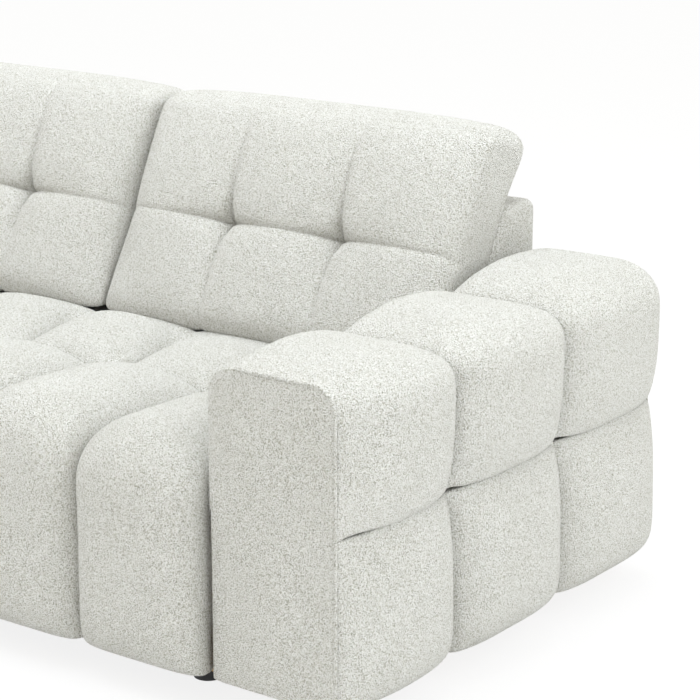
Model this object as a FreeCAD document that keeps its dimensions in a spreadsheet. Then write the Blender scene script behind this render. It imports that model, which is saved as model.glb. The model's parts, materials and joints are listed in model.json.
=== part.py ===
import FreeCAD, Part
import math
import os

import Sketcher

# A corner sofa in two sections that hook together under the seat: a two-seat section with the right arm,
# and a chaise section with the left arm. Each has a timber frame on feet, zigzag springs, a foam core and
# channelled upholstery, and three loose cushions lean on the back.
# Millimetres. The front faces -Y, +X is the viewer's right, and Z is 0 on the floor.

# Counts of what repeats.
BAY_COLUMNS = 3
SEAT_BAYS = {"sofa": 2, "chaise": 1}
SEAT_ROWS = {"sofa": 2, "chaise": 4}
ARM_COLUMNS = 3
SPRINGS = {"sofa": 8, "chaise": 8}
SPRING_LOOPS = {"sofa": 14, "chaise": 16}
CROSS_RAILS = {"sofa": 2, "chaise": 3}
BACK_RIBS = {"sofa": 5, "chaise": 3}

# Driving dimensions.
SIZES = {
    # One channel of the seat, seam to seam, and one row of it from front to back.
    "column_width": 250,
    "row_depth": 349,
    # Arms: the seam lines are the flat shape, and the crowns are how far the channels swell past it.
    "arm_width": 240,
    "arm_height": 556,
    "arm_seam_height": 325,
    "arm_crown": 48,
    "arm_top_crown": 36,
    "arm_inner_round": 50,
    "arm_outer_round": 20,
    "arm_channel_round": 80,
    "arm_inner_pad": 12,
    "arm_side_pad": 30,
    "arm_top_pad": 45,
    "arm_end_pad": 14,
    "arm_column": 317,
    "arm_board": 12,
    "arm_post": 30,
    # Seat.
    "seat_height": 390,
    "seat_crown": 42,
    "seat_front_crown": 32,
    "seat_front_round": 75,
    "seat_overhang": 8,
    "seat_pad": 60,
    "seat_skirt": 45,
    "seat_gap": 10,
    "skirt_height": 50,
    "skirt_round": 14,
    "side_skirt_crown": 22,
    # Back.
    "back_height": 650,
    "back_depth": 240,
    "back_top_depth": 100,
    "back_pad": 25,
    "back_end_pad": 12,
    "back_rear_pad": 12,
    "back_round": 20,
    "back_sheet": 5,
    "back_rib": 18,
    # Loose back cushions.
    "cushion_gap": 8,
    "cushion_lift": 10,
    "cushion_rise": 385,
    "cushion_fall": 32,
    "cushion_foot_depth": 124,
    "cushion_head_depth": 152,
    "cushion_seam_rise": 188,
    "cushion_crown": 36,
    "cushion_top_crown": 16,
    "cushion_tuft": 22,
    "cushion_side_draw": 20,
    "cushion_wall": 14,
    "cushion_core_depth": 66,
    "cushion_press": 40,
    # Timber base.
    "rail_thickness": 25,
    "rail_height": 140,
    "rail_inset": 12,
    "cross_rail_drop": 20,
    "corner_block": 80,
    "corner_block_height": 50,
    "dust_cover": 2,
    # Springs.
    "spring_wire": 4,
    "spring_width": 70,
    "spring_felt": 2,
    "clip_width": 24,
    "clip_depth": 16,
    "clip_bore_play": 0.1,
    # Feet.
    "foot_height": 45,
    "foot_radius": 30,
    "foot_toe_radius": 24,
    "foot_inset": 110,
    "stud_radius": 4,
    "stud_length": 30,
    "stud_play": 0.3,
    # Bolts that hold an arm to the base.
    "bolt_radius": 4,
    "bolt_head_radius": 9,
    "bolt_head": 5,
    "bolt_inset": 30,
    "bolt_edge": 30,
    "nut_radius": 9,
    "nut_thickness": 8,
    "bolt_play": 0.3,
    # Hooks and catches that join the two sections.
    "joint_gap": 6,
    "hook_plate": 3,
    "hook_width": 60,
    "hook_height": 60,
    "hook_tongue": 45,
    "hook_play": 0.4,
    "hook_drop": 30,
    "hook_inset": 170,
    # Room left between soft faces that only touch.
    "soft_clearance": 0.5,
}

# Places worked out from the driving dimensions. Depths are measured from the front of the arms.
PLAN = {
    "bay": f"{BAY_COLUMNS} * sizes.column_width",
    "arm_inner": f"{sum(SEAT_BAYS.values()) / 2} * plan.bay",
    "joint_x": f"plan.arm_inner - {SEAT_BAYS['sofa']} * plan.bay",
    "seat_rear": f"{SEAT_ROWS['sofa']} * sizes.row_depth - sizes.seat_overhang",
    "arm_depth": "plan.seat_rear + sizes.back_depth",
    "sofa_front": "-sizes.seat_overhang",
    "chaise_front": f"plan.seat_rear - {SEAT_ROWS['chaise']} * sizes.row_depth",
    "arm_front": "(sizes.seat_front_crown - plan.chaise_front - plan.arm_depth) / 2",
    "arm_core_outer": "sizes.arm_width - sizes.arm_side_pad",
    "arm_core_top": "sizes.arm_height - sizes.arm_top_pad",
    "arm_board_inner": "sizes.arm_inner_pad + sizes.arm_board",
    "arm_board_outer": "plan.arm_core_outer - sizes.arm_board",
    "sofa_left": "plan.joint_x + sizes.joint_gap / 2",
    "sofa_right": "plan.arm_inner - sizes.seat_gap",
    "chaise_left": "sizes.seat_gap - plan.arm_inner",
    "chaise_right": "plan.joint_x - sizes.joint_gap / 2",
    "sofa_back_left": "plan.sofa_left",
    "sofa_back_right": "plan.arm_inner - sizes.soft_clearance",
    "chaise_back_left": "sizes.soft_clearance - plan.arm_inner",
    "chaise_back_right": "plan.chaise_right",
    "rail_top": "sizes.foot_height + sizes.rail_height",
    "spring_top": "plan.rail_top + sizes.spring_wire",
    "core_bottom": "plan.spring_top + sizes.spring_felt",
    "seat_underside": "sizes.seat_height - sizes.seat_pad",
    "back_foot": "plan.seat_rear + sizes.soft_clearance",
    "back_foot_height": "sizes.seat_height + sizes.soft_clearance",
    "back_top_front": "plan.arm_depth - sizes.back_top_depth",
    "back_slope": "(plan.back_top_front - plan.back_foot) / (sizes.back_height - plan.back_foot_height)",
    "back_secant": "sqrt(1 + plan.back_slope ^ 2)",
    "back_pad_top": "sizes.back_height - sizes.back_pad",
    "pad_foot": "plan.back_foot + sizes.back_pad * plan.back_secant",
    "pad_head": "plan.pad_foot + (plan.back_pad_top - plan.back_foot_height) * plan.back_slope",
    "sheet_foot": "plan.pad_foot + sizes.back_sheet * plan.back_secant",
    "sheet_head": "plan.pad_head + sizes.back_sheet * plan.back_secant",
    "rear_inner": "plan.arm_depth - sizes.back_rear_pad",
    "rear_sheet": "plan.rear_inner - sizes.back_sheet",
    "rib_top": "plan.back_pad_top - sizes.rail_thickness",
    "rib_head": "plan.sheet_foot + (plan.rib_top - plan.back_foot_height) * plan.back_slope",
    "cavity_low": "sizes.skirt_height / 2",
    "cavity_front": "plan.back_foot - sizes.back_pad",
    "cushion_bottom": "sizes.seat_height + sizes.cushion_lift",
    "cushion_rear": "plan.back_foot + (plan.cushion_bottom - plan.back_foot_height) * plan.back_slope"
                    " - sizes.soft_clearance * plan.back_secant",
    "cushion_width": "plan.bay - sizes.cushion_gap",
    "core_low": "plan.cushion_bottom + sizes.cushion_wall",
    "core_high": "plan.cushion_bottom + sizes.cushion_rise - sizes.cushion_fall"
                 " - sizes.cushion_side_draw - sizes.cushion_wall",
    "core_rear_low": "plan.cushion_rear + sizes.cushion_wall * (plan.back_slope - plan.back_secant)",
    "core_rear_high": "plan.core_rear_low + (plan.core_high - plan.core_low) * plan.back_slope",
    "core_front_low": "plan.core_rear_low - sizes.cushion_core_depth",
    "core_front_high": "plan.core_rear_high - sizes.cushion_core_depth",
    "core_width": "plan.cushion_width - 2 * (sizes.cushion_side_draw + sizes.cushion_wall)",
    "hook_reach": "sizes.joint_gap + 2 * sizes.rail_inset",
    "tongue_near": "(plan.hook_reach - 2 * sizes.hook_plate - sizes.hook_play) / 2",
    "tongue_far": "plan.tongue_near + sizes.hook_plate",
    "catch_near": "plan.tongue_far + sizes.hook_play",
    "catch_far": "plan.catch_near + sizes.hook_plate",
    "hook_back": "plan.hook_reach - sizes.hook_plate",
    "hook_low": "sizes.foot_height + sizes.hook_drop",
    "hook_shelf": "plan.hook_low + sizes.hook_plate",
    "hook_plate_top": "plan.hook_low + sizes.hook_height",
    "tongue_top": "plan.hook_low + sizes.hook_tongue",
    "catch_under": "plan.tongue_top + sizes.hook_play",
    "catch_top": "plan.catch_under + sizes.hook_plate",
    "catch_tip": "plan.catch_top - sizes.hook_tongue",
    "catch_plate_low": "plan.catch_top - sizes.hook_height",
}

# How full a channel is at places across it: its two seams, its shoulders and its middle.
SEAM_FULLNESS = 0.1
SHOULDER_FULLNESS = 0.76
CHANNEL_STATIONS = (
    (0, SEAM_FULLNESS),
    (0.17, SHOULDER_FULLNESS),
    (0.5, 1),
    (0.83, SHOULDER_FULLNESS),
    (1, SEAM_FULLNESS),
)

doc = FreeCAD.newDocument("corner_sofa")
sheet = doc.addObject("Spreadsheet::Sheet", "sizes")
for row, (alias, value) in enumerate(SIZES.items(), start=1):
    sheet.set(f"A{row}", alias)
    sheet.set(f"B{row}", str(value))
    sheet.setAlias(f"B{row}", alias)
plan = doc.addObject("App::VarSet", "plan")
for name in PLAN:
    plan.addProperty("App::PropertyFloat", name, "places")
doc.recompute()
for name, formula in PLAN.items():
    plan.setExpression(name, formula)
doc.recompute()

nodes = []


def number(name):
    """The value of a named place or driving dimension."""
    return getattr(plan, name) if name in PLAN else float(sheet.get(name))


def reference(name):
    """The expression that reads a named place or driving dimension."""
    return f"plan.{name}" if name in PLAN else f"sizes.{name}"


def node(item, name):
    """Count an object as a finished sub-part under its own label."""
    item.Label = name
    nodes.append(item)
    return item


def bind(item, **links):
    for name, formula in links.items():
        item.setExpression(name, formula)


def seat_at(item, place):
    for axis, formula in zip("xyz", place):
        item.setExpression(f"Placement.Base.{axis}", formula)


def depth(formula):
    """The Y place of a depth behind the front of the arms."""
    return f"plan.arm_front + {formula}"


def block(name, place, size):
    item = doc.addObject("Part::Box", name)
    bind(item, **dict(zip(("Length", "Width", "Height"), size)))
    seat_at(item, place)
    return item


def rod(name, place, radius, length, axis=(0, 0, 1)):
    item = doc.addObject("Part::Cylinder", name)
    bind(item, Radius=radius, Height=length)
    item.Placement.Rotation = FreeCAD.Rotation(FreeCAD.Vector(0, 0, 1), FreeCAD.Vector(*axis))
    seat_at(item, place)
    return item


def group(name, members):
    item = doc.addObject("Part::Compound", name)
    item.Links = members
    return item


def cut(name, base, tool):
    item = doc.addObject("Part::Cut", name)
    item.Base = base
    item.Tool = tool
    return item


def mirrored(source, name):
    """The same piece on the other side of the sofa's middle plane."""
    item = doc.addObject("Part::Mirroring", name)
    item.Source = source
    item.Normal = FreeCAD.Vector(1, 0, 0)
    return node(item, name)


def prism(name, plane, corners, length, place):
    """A body padded from a straight-sided outline, whose corners are named values or lie on an axis (None)."""
    body = doc.addObject("PartDesign::Body", name)
    sketch = body.newObject("Sketcher::SketchObject", f"{name}_outline")
    origin_plane = next(item for item in body.Origin.OriginFeatures if item.Role == plane)
    sketch.AttachmentSupport = [(origin_plane, "")]
    sketch.MapMode = "FlatFace"
    points = [FreeCAD.Vector(*(number(key) if key else 0 for key in corner), 0) for corner in corners]
    count = len(points)
    for index in range(count):
        sketch.addGeometry(Part.LineSegment(points[index], points[(index + 1) % count]))
    for index, corner in enumerate(corners):
        sketch.addConstraint(Sketcher.Constraint("Coincident", index, 2, (index + 1) % count, 1))
        for kind, key, axis in zip(("DistanceX", "DistanceY"), corner, (-2, -1)):
            if key is None:
                sketch.addConstraint(Sketcher.Constraint("PointOnObject", index, 1, axis))
                continue
            at = sketch.addConstraint(Sketcher.Constraint(kind, -1, 1, index, 1, number(key)))
            label = f"corner_{index}_{kind}"
            sketch.renameConstraint(at, label)
            sketch.setExpression(f"Constraints.{label}", reference(key))
    pad = body.newObject("PartDesign::Pad", f"{name}_pad")
    pad.Profile = sketch
    pad.Reversed = plane == "XZ_Plane"
    bind(pad, Length=length)
    seat_at(body, place)
    doc.recompute()
    return body


def round_edge(body, point, radius):
    """Round the edge of a body that passes nearest to a point in the body's own frame."""
    base = body.Tip
    spot = Part.Vertex(FreeCAD.Vector(*point))
    gaps = [edge.distToShape(spot)[0] for edge in base.Shape.Edges]
    fillet = body.newObject("PartDesign::Fillet", f"{body.Name}_round")
    fillet.Base = (base, [f"Edge{gaps.index(min(gaps)) + 1}"])
    bind(fillet, Radius=radius)
    doc.recompute()


def rounded(corners):
    """Lines and arcs round a closed outline of (a, b, radius) corners, as 2-point and 3-point runs."""
    runs = []
    leave = []
    for index, (a, b, radius) in enumerate(corners):
        corner = FreeCAD.Vector(a, b, 0)
        before = FreeCAD.Vector(*corners[index - 1][:2], 0)
        after = FreeCAD.Vector(*corners[(index + 1) % len(corners)][:2], 0)
        back = (before - corner).normalize()
        ahead = (after - corner).normalize()
        half = back.getAngle(ahead) / 2
        reach = radius / math.tan(half) if radius else 0
        enter, out = corner + back * reach, corner + ahead * reach
        leave.append((enter, out))
        if radius:
            inward = (back + ahead).normalize()
            middle = corner + inward * (radius / math.sin(half) - radius)
            runs.append((index, (enter, middle, out)))
    outline = []
    arcs = dict(runs)
    for index in range(len(corners)):
        if index in arcs:
            outline.append(arcs[index])
        start, end = leave[index][1], leave[(index + 1) % len(corners)][0]
        if (end - start).Length > 1e-6:
            outline.append((start, end))
    return outline


def section_wire(outline, place):
    """A closed wire of an outline's runs, put in space by a function of its two coordinates."""
    edges = []
    for run in outline:
        points = [place(point.x, point.y) for point in run]
        curve = Part.LineSegment(*points) if len(points) == 2 else Part.Arc(*points)
        edges.append(curve.toShape())
    return Part.Wire(edges)


def channelled(section, seams, place):
    """Lofted channels side by side, fused at their seams: section gives the outline at a fullness."""
    channels = []
    for start, end in zip(seams, seams[1:]):
        wires = []
        for share, fullness in CHANNEL_STATIONS:
            station = start + share * (end - start)
            wires.append(section_wire(section(fullness), lambda a, b: place(station, a, b)))
        channels.append(Part.makeLoft(wires, True))
    whole = channels[0].multiFuse(channels[1:])
    if len(whole.Solids) != 1:
        raise RuntimeError("the channels of a pad came apart")
    return whole.Solids[0]


def even_seams(start, end, count):
    return [start + (end - start) * index / count for index in range(count + 1)]


def soft(name, shape):
    """A lofted sub-part, built in place."""
    item = doc.addObject("Part::Feature", name)
    item.Shape = shape
    item.Placement = FreeCAD.Placement()
    return node(item, name)


def across(x, d, z):
    """A spot of a section that stands across the width, from its depth behind the arm fronts."""
    return FreeCAD.Vector(x, number("arm_front") + d, z)


def along(d, x, z):
    """A spot of a section that stands across the depth."""
    return FreeCAD.Vector(x, number("arm_front") + d, z)


def arm_upper_section(fullness):
    """An arm's upper channel: down the outer face, over the top and down the inner face."""
    inner = number("arm_inner")
    seam = number("arm_seam_height")
    crown = fullness * number("arm_crown")
    outer = inner + number("arm_width") + crown
    top = number("arm_height") + fullness * number("arm_top_crown")
    edge_round = number("arm_outer_round")
    outer_round = edge_round + fullness * (number("arm_channel_round") - edge_round)
    core_inner = inner + number("arm_inner_pad")
    core_outer = inner + number("arm_core_outer")
    core_top = number("arm_core_top")
    return rounded([
        (outer, seam, crown),
        (outer, top, outer_round),
        (inner, top, number("arm_inner_round")),
        (inner, seam, 0),
        (core_inner, seam, 0),
        (core_inner, core_top, 0),
        (core_outer, core_top, 0),
        (core_outer, seam, 0),
    ])


def skirt_section(fullness, inner, flat, top, crown):
    """A padded face over a frame's side, from the lower edge to a seam; swells away from inner."""
    swell = fullness * number(crown)
    outward = 1 if flat > inner else -1
    outer = flat + outward * swell
    low = number("skirt_height")
    return rounded([
        (inner, low, 0),
        (outer, low, number("skirt_round")),
        (outer, top, swell),
        (inner, top, 0),
    ])


def seat_section(fullness, front, rows):
    """A seat channel: up the front, over the rows of the seat and back along the underside."""
    flat = number("seat_height")
    crown = fullness * number("seat_crown")
    top = flat + crown
    face = front - fullness * number("seat_front_crown")
    rear = number("seat_rear")
    low = number("skirt_height")
    inner = front + number("seat_skirt")
    underside = number("seat_underside")
    pressed = flat + fullness * (number("cushion_lift") - number("soft_clearance"))
    press_front = number("cushion_rear") - number("cushion_foot_depth") - number("cushion_press")
    corners = [
        (inner, low, 0),
        (face, low, number("skirt_round")),
        (face, top, number("seat_front_round")),
    ]
    for row in range(1, rows):
        seam = front + row * number("row_depth")
        corners += [(seam, top, crown), (seam, flat, 0), (seam, top, crown)]
    corners += [
        (press_front, pressed, 0),
        (rear, pressed, 0),
        (rear, underside, 0),
        (inner, underside, 0),
    ]
    return rounded(corners)


def bulge(start, end, rise):
    """An arc from start to end that stands off its chord by rise, to the left of the way it runs."""
    chord = end - start
    aside = FreeCAD.Vector(-chord.y, chord.x, 0).normalize()
    return (start, (start + end) * 0.5 + aside * rise, end)


def cushion_section(fullness, tuft, draw):
    """A back cushion's outline: two swelling rows in front, a crowned top, a flat back and bottom."""
    slope = number("back_slope")
    low = number("cushion_bottom")
    high = low + number("cushion_rise") - draw
    rear_high = high - number("cushion_fall")
    rear = number("cushion_rear")
    rear_low = FreeCAD.Vector(rear, low, 0)
    rear_top = FreeCAD.Vector(rear + (rear_high - low) * slope, rear_high, 0)
    front_low = FreeCAD.Vector(rear - number("cushion_foot_depth") + draw, low, 0)
    front_top = FreeCAD.Vector(
        rear + number("cushion_rise") * slope - number("cushion_head_depth") + draw, high, 0)
    share = number("cushion_seam_rise") / number("cushion_rise")
    face = front_top - front_low
    seam = front_low + face * share + FreeCAD.Vector(face.y, -face.x, 0).normalize() * tuft
    crown = fullness * number("cushion_crown")
    return [
        bulge(front_low, seam, crown),
        bulge(seam, front_top, crown),
        bulge(front_top, rear_top, fullness * number("cushion_top_crown")),
        (rear_top, rear_low),
        (rear_low, front_low),
    ]


def cushion_shell(left, core):
    """A cushion's cover: three channels with sewn tufts where the seams cross, hollow for its core."""
    tuft = number("cushion_tuft")
    side_draw = number("cushion_side_draw")
    width = number("cushion_width")
    seams = even_seams(left, left + width, BAY_COLUMNS)
    channels = []
    for index, (start, end) in enumerate(zip(seams, seams[1:])):
        wires = []
        for share, fullness in CHANNEL_STATIONS:
            outside = (index == 0 and share == 0) or (index == BAY_COLUMNS - 1 and share == 1)
            pinch = 0 if outside else tuft * (1 - fullness)
            outline = cushion_section(fullness, pinch, side_draw if outside else 0)
            station = start + share * (end - start)
            wires.append(section_wire(outline, lambda a, b: across(station, a, b)))
        channels.append(Part.makeLoft(wires, True))
    whole = channels[0].multiFuse(channels[1:]).cut(core)
    if len(whole.Solids) != 1:
        raise RuntimeError("the channels of a cushion came apart")
    return whole.Solids[0]


def zigzag(length, loops, wire):
    """A spring of one bent wire along X from the origin: straight cross runs joined by half turns."""
    pitch = length / loops
    turn = pitch / 2
    straight = number("spring_width") / 2 - turn - wire
    edges = []
    for index in range(loops + 1):
        x = index * pitch
        side = 1 if index % 2 == 0 else -1
        start = FreeCAD.Vector(x, -side * straight, 0)
        end = FreeCAD.Vector(x, side * straight, 0)
        edges.append(Part.LineSegment(start, end).toShape())
        if index < loops:
            middle = FreeCAD.Vector(x + turn, side * (straight + turn), 0)
            after = FreeCAD.Vector(x + pitch, side * straight, 0)
            edges.append(Part.Arc(end, middle, after).toShape())
    path = Part.Wire(edges)
    circle = Part.Circle(FreeCAD.Vector(0, -straight, 0), FreeCAD.Vector(0, 1, 0), wire).toShape()
    spring = path.makePipeShell([Part.Wire([circle])], True, False)
    expected = math.pi * wire ** 2 * path.Length
    if abs(spring.Volume - expected) > expected / 1000:
        raise RuntimeError("a spring's volume is not its wire's section times its length")
    return spring


def make_springs(section):
    """Zigzag springs between two rails, the clips that hold their ends and the felt laid over them."""
    wire = number("spring_wire") / 2
    half_rail = number("rail_thickness") / 2
    left = number(f"{section}_left") + number("rail_inset") + half_rail
    right = number(f"{section}_right") - number("rail_inset") - half_rail
    front = number("arm_front") + number(f"{section}_front") + number("seat_skirt") + half_rail
    rear = number("arm_front") + number("seat_rear") - half_rail
    height = number("rail_top") + wire
    count = SPRINGS[section]
    lengthways = section == "sofa"
    run = (rear - front) if lengthways else (right - left)
    spring = zigzag(run, SPRING_LOOPS[section], wire)
    if lengthways:
        spring.rotate(FreeCAD.Vector(), FreeCAD.Vector(0, 0, 1), 90)
    springs = []
    clips = []
    half_clip = "sizes.clip_width / 2"
    half_hold = "sizes.clip_depth / 2"
    bore = "sizes.spring_wire / 2 + sizes.clip_bore_play"
    clip_height = "sizes.spring_wire + sizes.spring_felt"
    for index in range(count):
        share = (index + 0.5) / count
        spot = FreeCAD.Vector(left, front, height)
        if lengthways:
            spot.x += share * (right - left)
        else:
            spot.y += share * (rear - front)
        springs.append(spring.translated(spot))
        for end in (0, 1):
            name = f"{section}_clip_{index}_{end}"
            x = spot.x + (0 if lengthways else end * run)
            y = spot.y + (end * run if lengthways else 0)
            half_x, half_y = (half_clip, half_hold) if lengthways else (half_hold, half_clip)
            body = block(f"{name}_body", (f"{x} - {half_x}", f"{y} - {half_y}", "plan.rail_top"),
                         (f"2 * {half_x}", f"2 * {half_y}", clip_height))
            start = (f"{x} - {half_x}", f"{y}") if lengthways else (f"{x}", f"{y} - {half_y}")
            groove = rod(f"{name}_groove", (*start, "plan.rail_top + sizes.spring_wire / 2"), bore,
                         "sizes.clip_width", (1, 0, 0) if lengthways else (0, 1, 0))
            clips.append(cut(name, body, groove))
    soft(f"{section}_seat_springs", Part.makeCompound(springs))
    node(group(f"{section}_spring_clips", clips), f"{section}_spring_clips")


def make_base(section, holes):
    """The timber base of a section, with its dust cover and feet; holes are cut in the rail by the arm."""
    left = f"plan.{section}_left + sizes.rail_inset"
    right = f"plan.{section}_right - sizes.rail_inset"
    front = f"plan.{section}_front + sizes.seat_skirt"
    rear = "plan.seat_rear"
    thick = "sizes.rail_thickness"
    tall = "sizes.rail_height"
    base = "sizes.foot_height"
    wide = f"({right}) - ({left})"
    deep = f"{rear} - ({front})"
    long_rails = [
        block(f"{section}_front_rail", (left, depth(front), base), (wide, thick, tall)),
        block(f"{section}_rear_rail", (left, depth(f"{rear} - {thick}"), base), (wide, thick, tall)),
    ]
    node(group(f"{section}_long_rails", long_rails), f"{section}_long_rails")

    inner_front = f"{front} + {thick}"
    inner_deep = f"{deep} - 2 * {thick}"
    side_rails = []
    for end, x in (("left", left), ("right", f"{right} - {thick}")):
        rail = block(f"{section}_{end}_rail", (x, depth(inner_front), base), (thick, inner_deep, tall))
        by_arm = end == ("right" if section == "sofa" else "left")
        side_rails.append(cut(f"{section}_{end}_rail_drilled", rail, holes) if by_arm else rail)
    node(group(f"{section}_side_rails", side_rails), f"{section}_side_rails")

    cross_rails = []
    lengthways = section == "sofa"
    low_tall = f"{tall} - sizes.cross_rail_drop"
    inner_left = f"{left} + {thick}"
    inner_wide = f"{wide} - 2 * {thick}"
    for index in range(CROSS_RAILS[section]):
        share = (index + 1) / (CROSS_RAILS[section] + 1)
        name = f"{section}_cross_rail_{index}"
        if lengthways:
            x = f"{inner_left} + {share} * ({inner_wide}) - {thick} / 2"
            cross_rails.append(block(name, (x, depth(inner_front), base), (thick, inner_deep, low_tall)))
        else:
            y = depth(f"{inner_front} + {share} * ({inner_deep}) - {thick} / 2")
            cross_rails.append(block(name, (inner_left, y, base), (inner_wide, thick, low_tall)))
    node(group(f"{section}_cross_rails", cross_rails), f"{section}_cross_rails")

    blocks = []
    feet = []
    collars = []
    side = "sizes.corner_block"
    for x_name, x in (("left", inner_left), ("right", f"{right} - {thick} - {side}")):
        for y_name, y in (("front", inner_front), ("rear", f"{rear} - {thick} - {side}")):
            name = f"{section}_{y_name}_{x_name}"
            spot = (f"{x} + {side} / 2", depth(f"{y} + {side} / 2"))
            timber = block(f"{name}_block", (x, depth(y), base), (side, side, "sizes.corner_block_height"))
            blocks.append(cut(f"{name}_block_drilled", timber, stud_hole(name, spot)))
            feet.append(make_foot(name, spot))
            collars.append(rod(f"{name}_collar", (*spot, f"{base} - sizes.dust_cover"),
                               "sizes.foot_radius + sizes.stud_play", "sizes.dust_cover"))
    arm_sign = "" if section == "sofa" else "-"
    for end, y in arm_feet():
        x = f"{arm_sign}(plan.arm_inner + {ARM_MIDDLE})"
        feet.append(make_foot(f"{section}_arm_{end}", (x, depth(y))))
    node(group(f"{section}_corner_blocks", blocks), f"{section}_corner_blocks")
    node(group(f"{section}_feet", feet), f"{section}_feet")

    cloth = block(f"{section}_dust_sheet", (left, depth(front), f"{base} - sizes.dust_cover"),
                  (wide, f"plan.rear_inner - ({front})", "sizes.dust_cover"))
    cover = cut(f"{section}_dust_cover", cloth, group(f"{section}_collars", collars))
    node(cover, f"{section}_dust_cover")

    felt_inset = f"{thick} / 2 + sizes.clip_depth / 2"
    felt = block(f"{section}_spring_felt",
                 (f"{left} + {felt_inset}", depth(f"{front} + {felt_inset}"), "plan.spring_top"),
                 (f"{wide} - 2 * ({felt_inset})", f"{deep} - 2 * ({felt_inset})", "sizes.spring_felt"))
    node(felt, f"{section}_spring_felt")
    core = block(f"{section}_seat_core", (left, depth(front), "plan.core_bottom"),
                 (wide, deep, "plan.seat_underside - plan.core_bottom"))
    node(core, f"{section}_seat_core")


# The middle of an arm's frame, from its inner face.
ARM_MIDDLE = "(sizes.arm_inner_pad + plan.arm_core_outer) / 2"


def arm_feet():
    """Where an arm's two feet stand behind its front."""
    return (("front", "sizes.foot_inset"), ("rear", "plan.arm_depth - sizes.foot_inset"))


def stud_hole(name, spot):
    return rod(f"{name}_stud_hole", (*spot, "sizes.foot_height"), "sizes.stud_radius + sizes.stud_play",
               "sizes.corner_block_height + sizes.stud_length")


def make_foot(name, spot):
    """A tapered foot with the threaded stud that holds it."""
    foot = doc.addObject("Part::Cone", f"{name}_foot_body")
    bind(foot, Radius1="sizes.foot_toe_radius", Radius2="sizes.foot_radius", Height="sizes.foot_height")
    seat_at(foot, (*spot, "0"))
    stud = rod(f"{name}_stud", (*spot, "sizes.foot_height"), "sizes.stud_radius", "sizes.stud_length")
    whole = doc.addObject("Part::Fuse", f"{name}_foot")
    whole.Base = foot
    whole.Tool = stud
    return whole


def bolt_spots():
    """Depths and heights of the four bolts that hold an arm."""
    reach = "sizes.rail_thickness + sizes.corner_block + sizes.bolt_inset"
    front = depth(f"plan.sofa_front + sizes.seat_skirt + {reach}")
    rear = depth(f"plan.seat_rear - ({reach})")
    low = "sizes.foot_height + sizes.corner_block_height + sizes.bolt_edge"
    high = "plan.rail_top - sizes.bolt_edge"
    return [(y, z) for y in (front, rear) for z in (low, high)]


def bolt_holes(name, x, length):
    """Holes for the four bolts, along X."""
    radius = "sizes.bolt_radius + sizes.bolt_play"
    return group(name, [rod(f"{name}_{index}", (x, y, z), radius, length, (1, 0, 0))
                        for index, (y, z) in enumerate(bolt_spots())])


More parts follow.
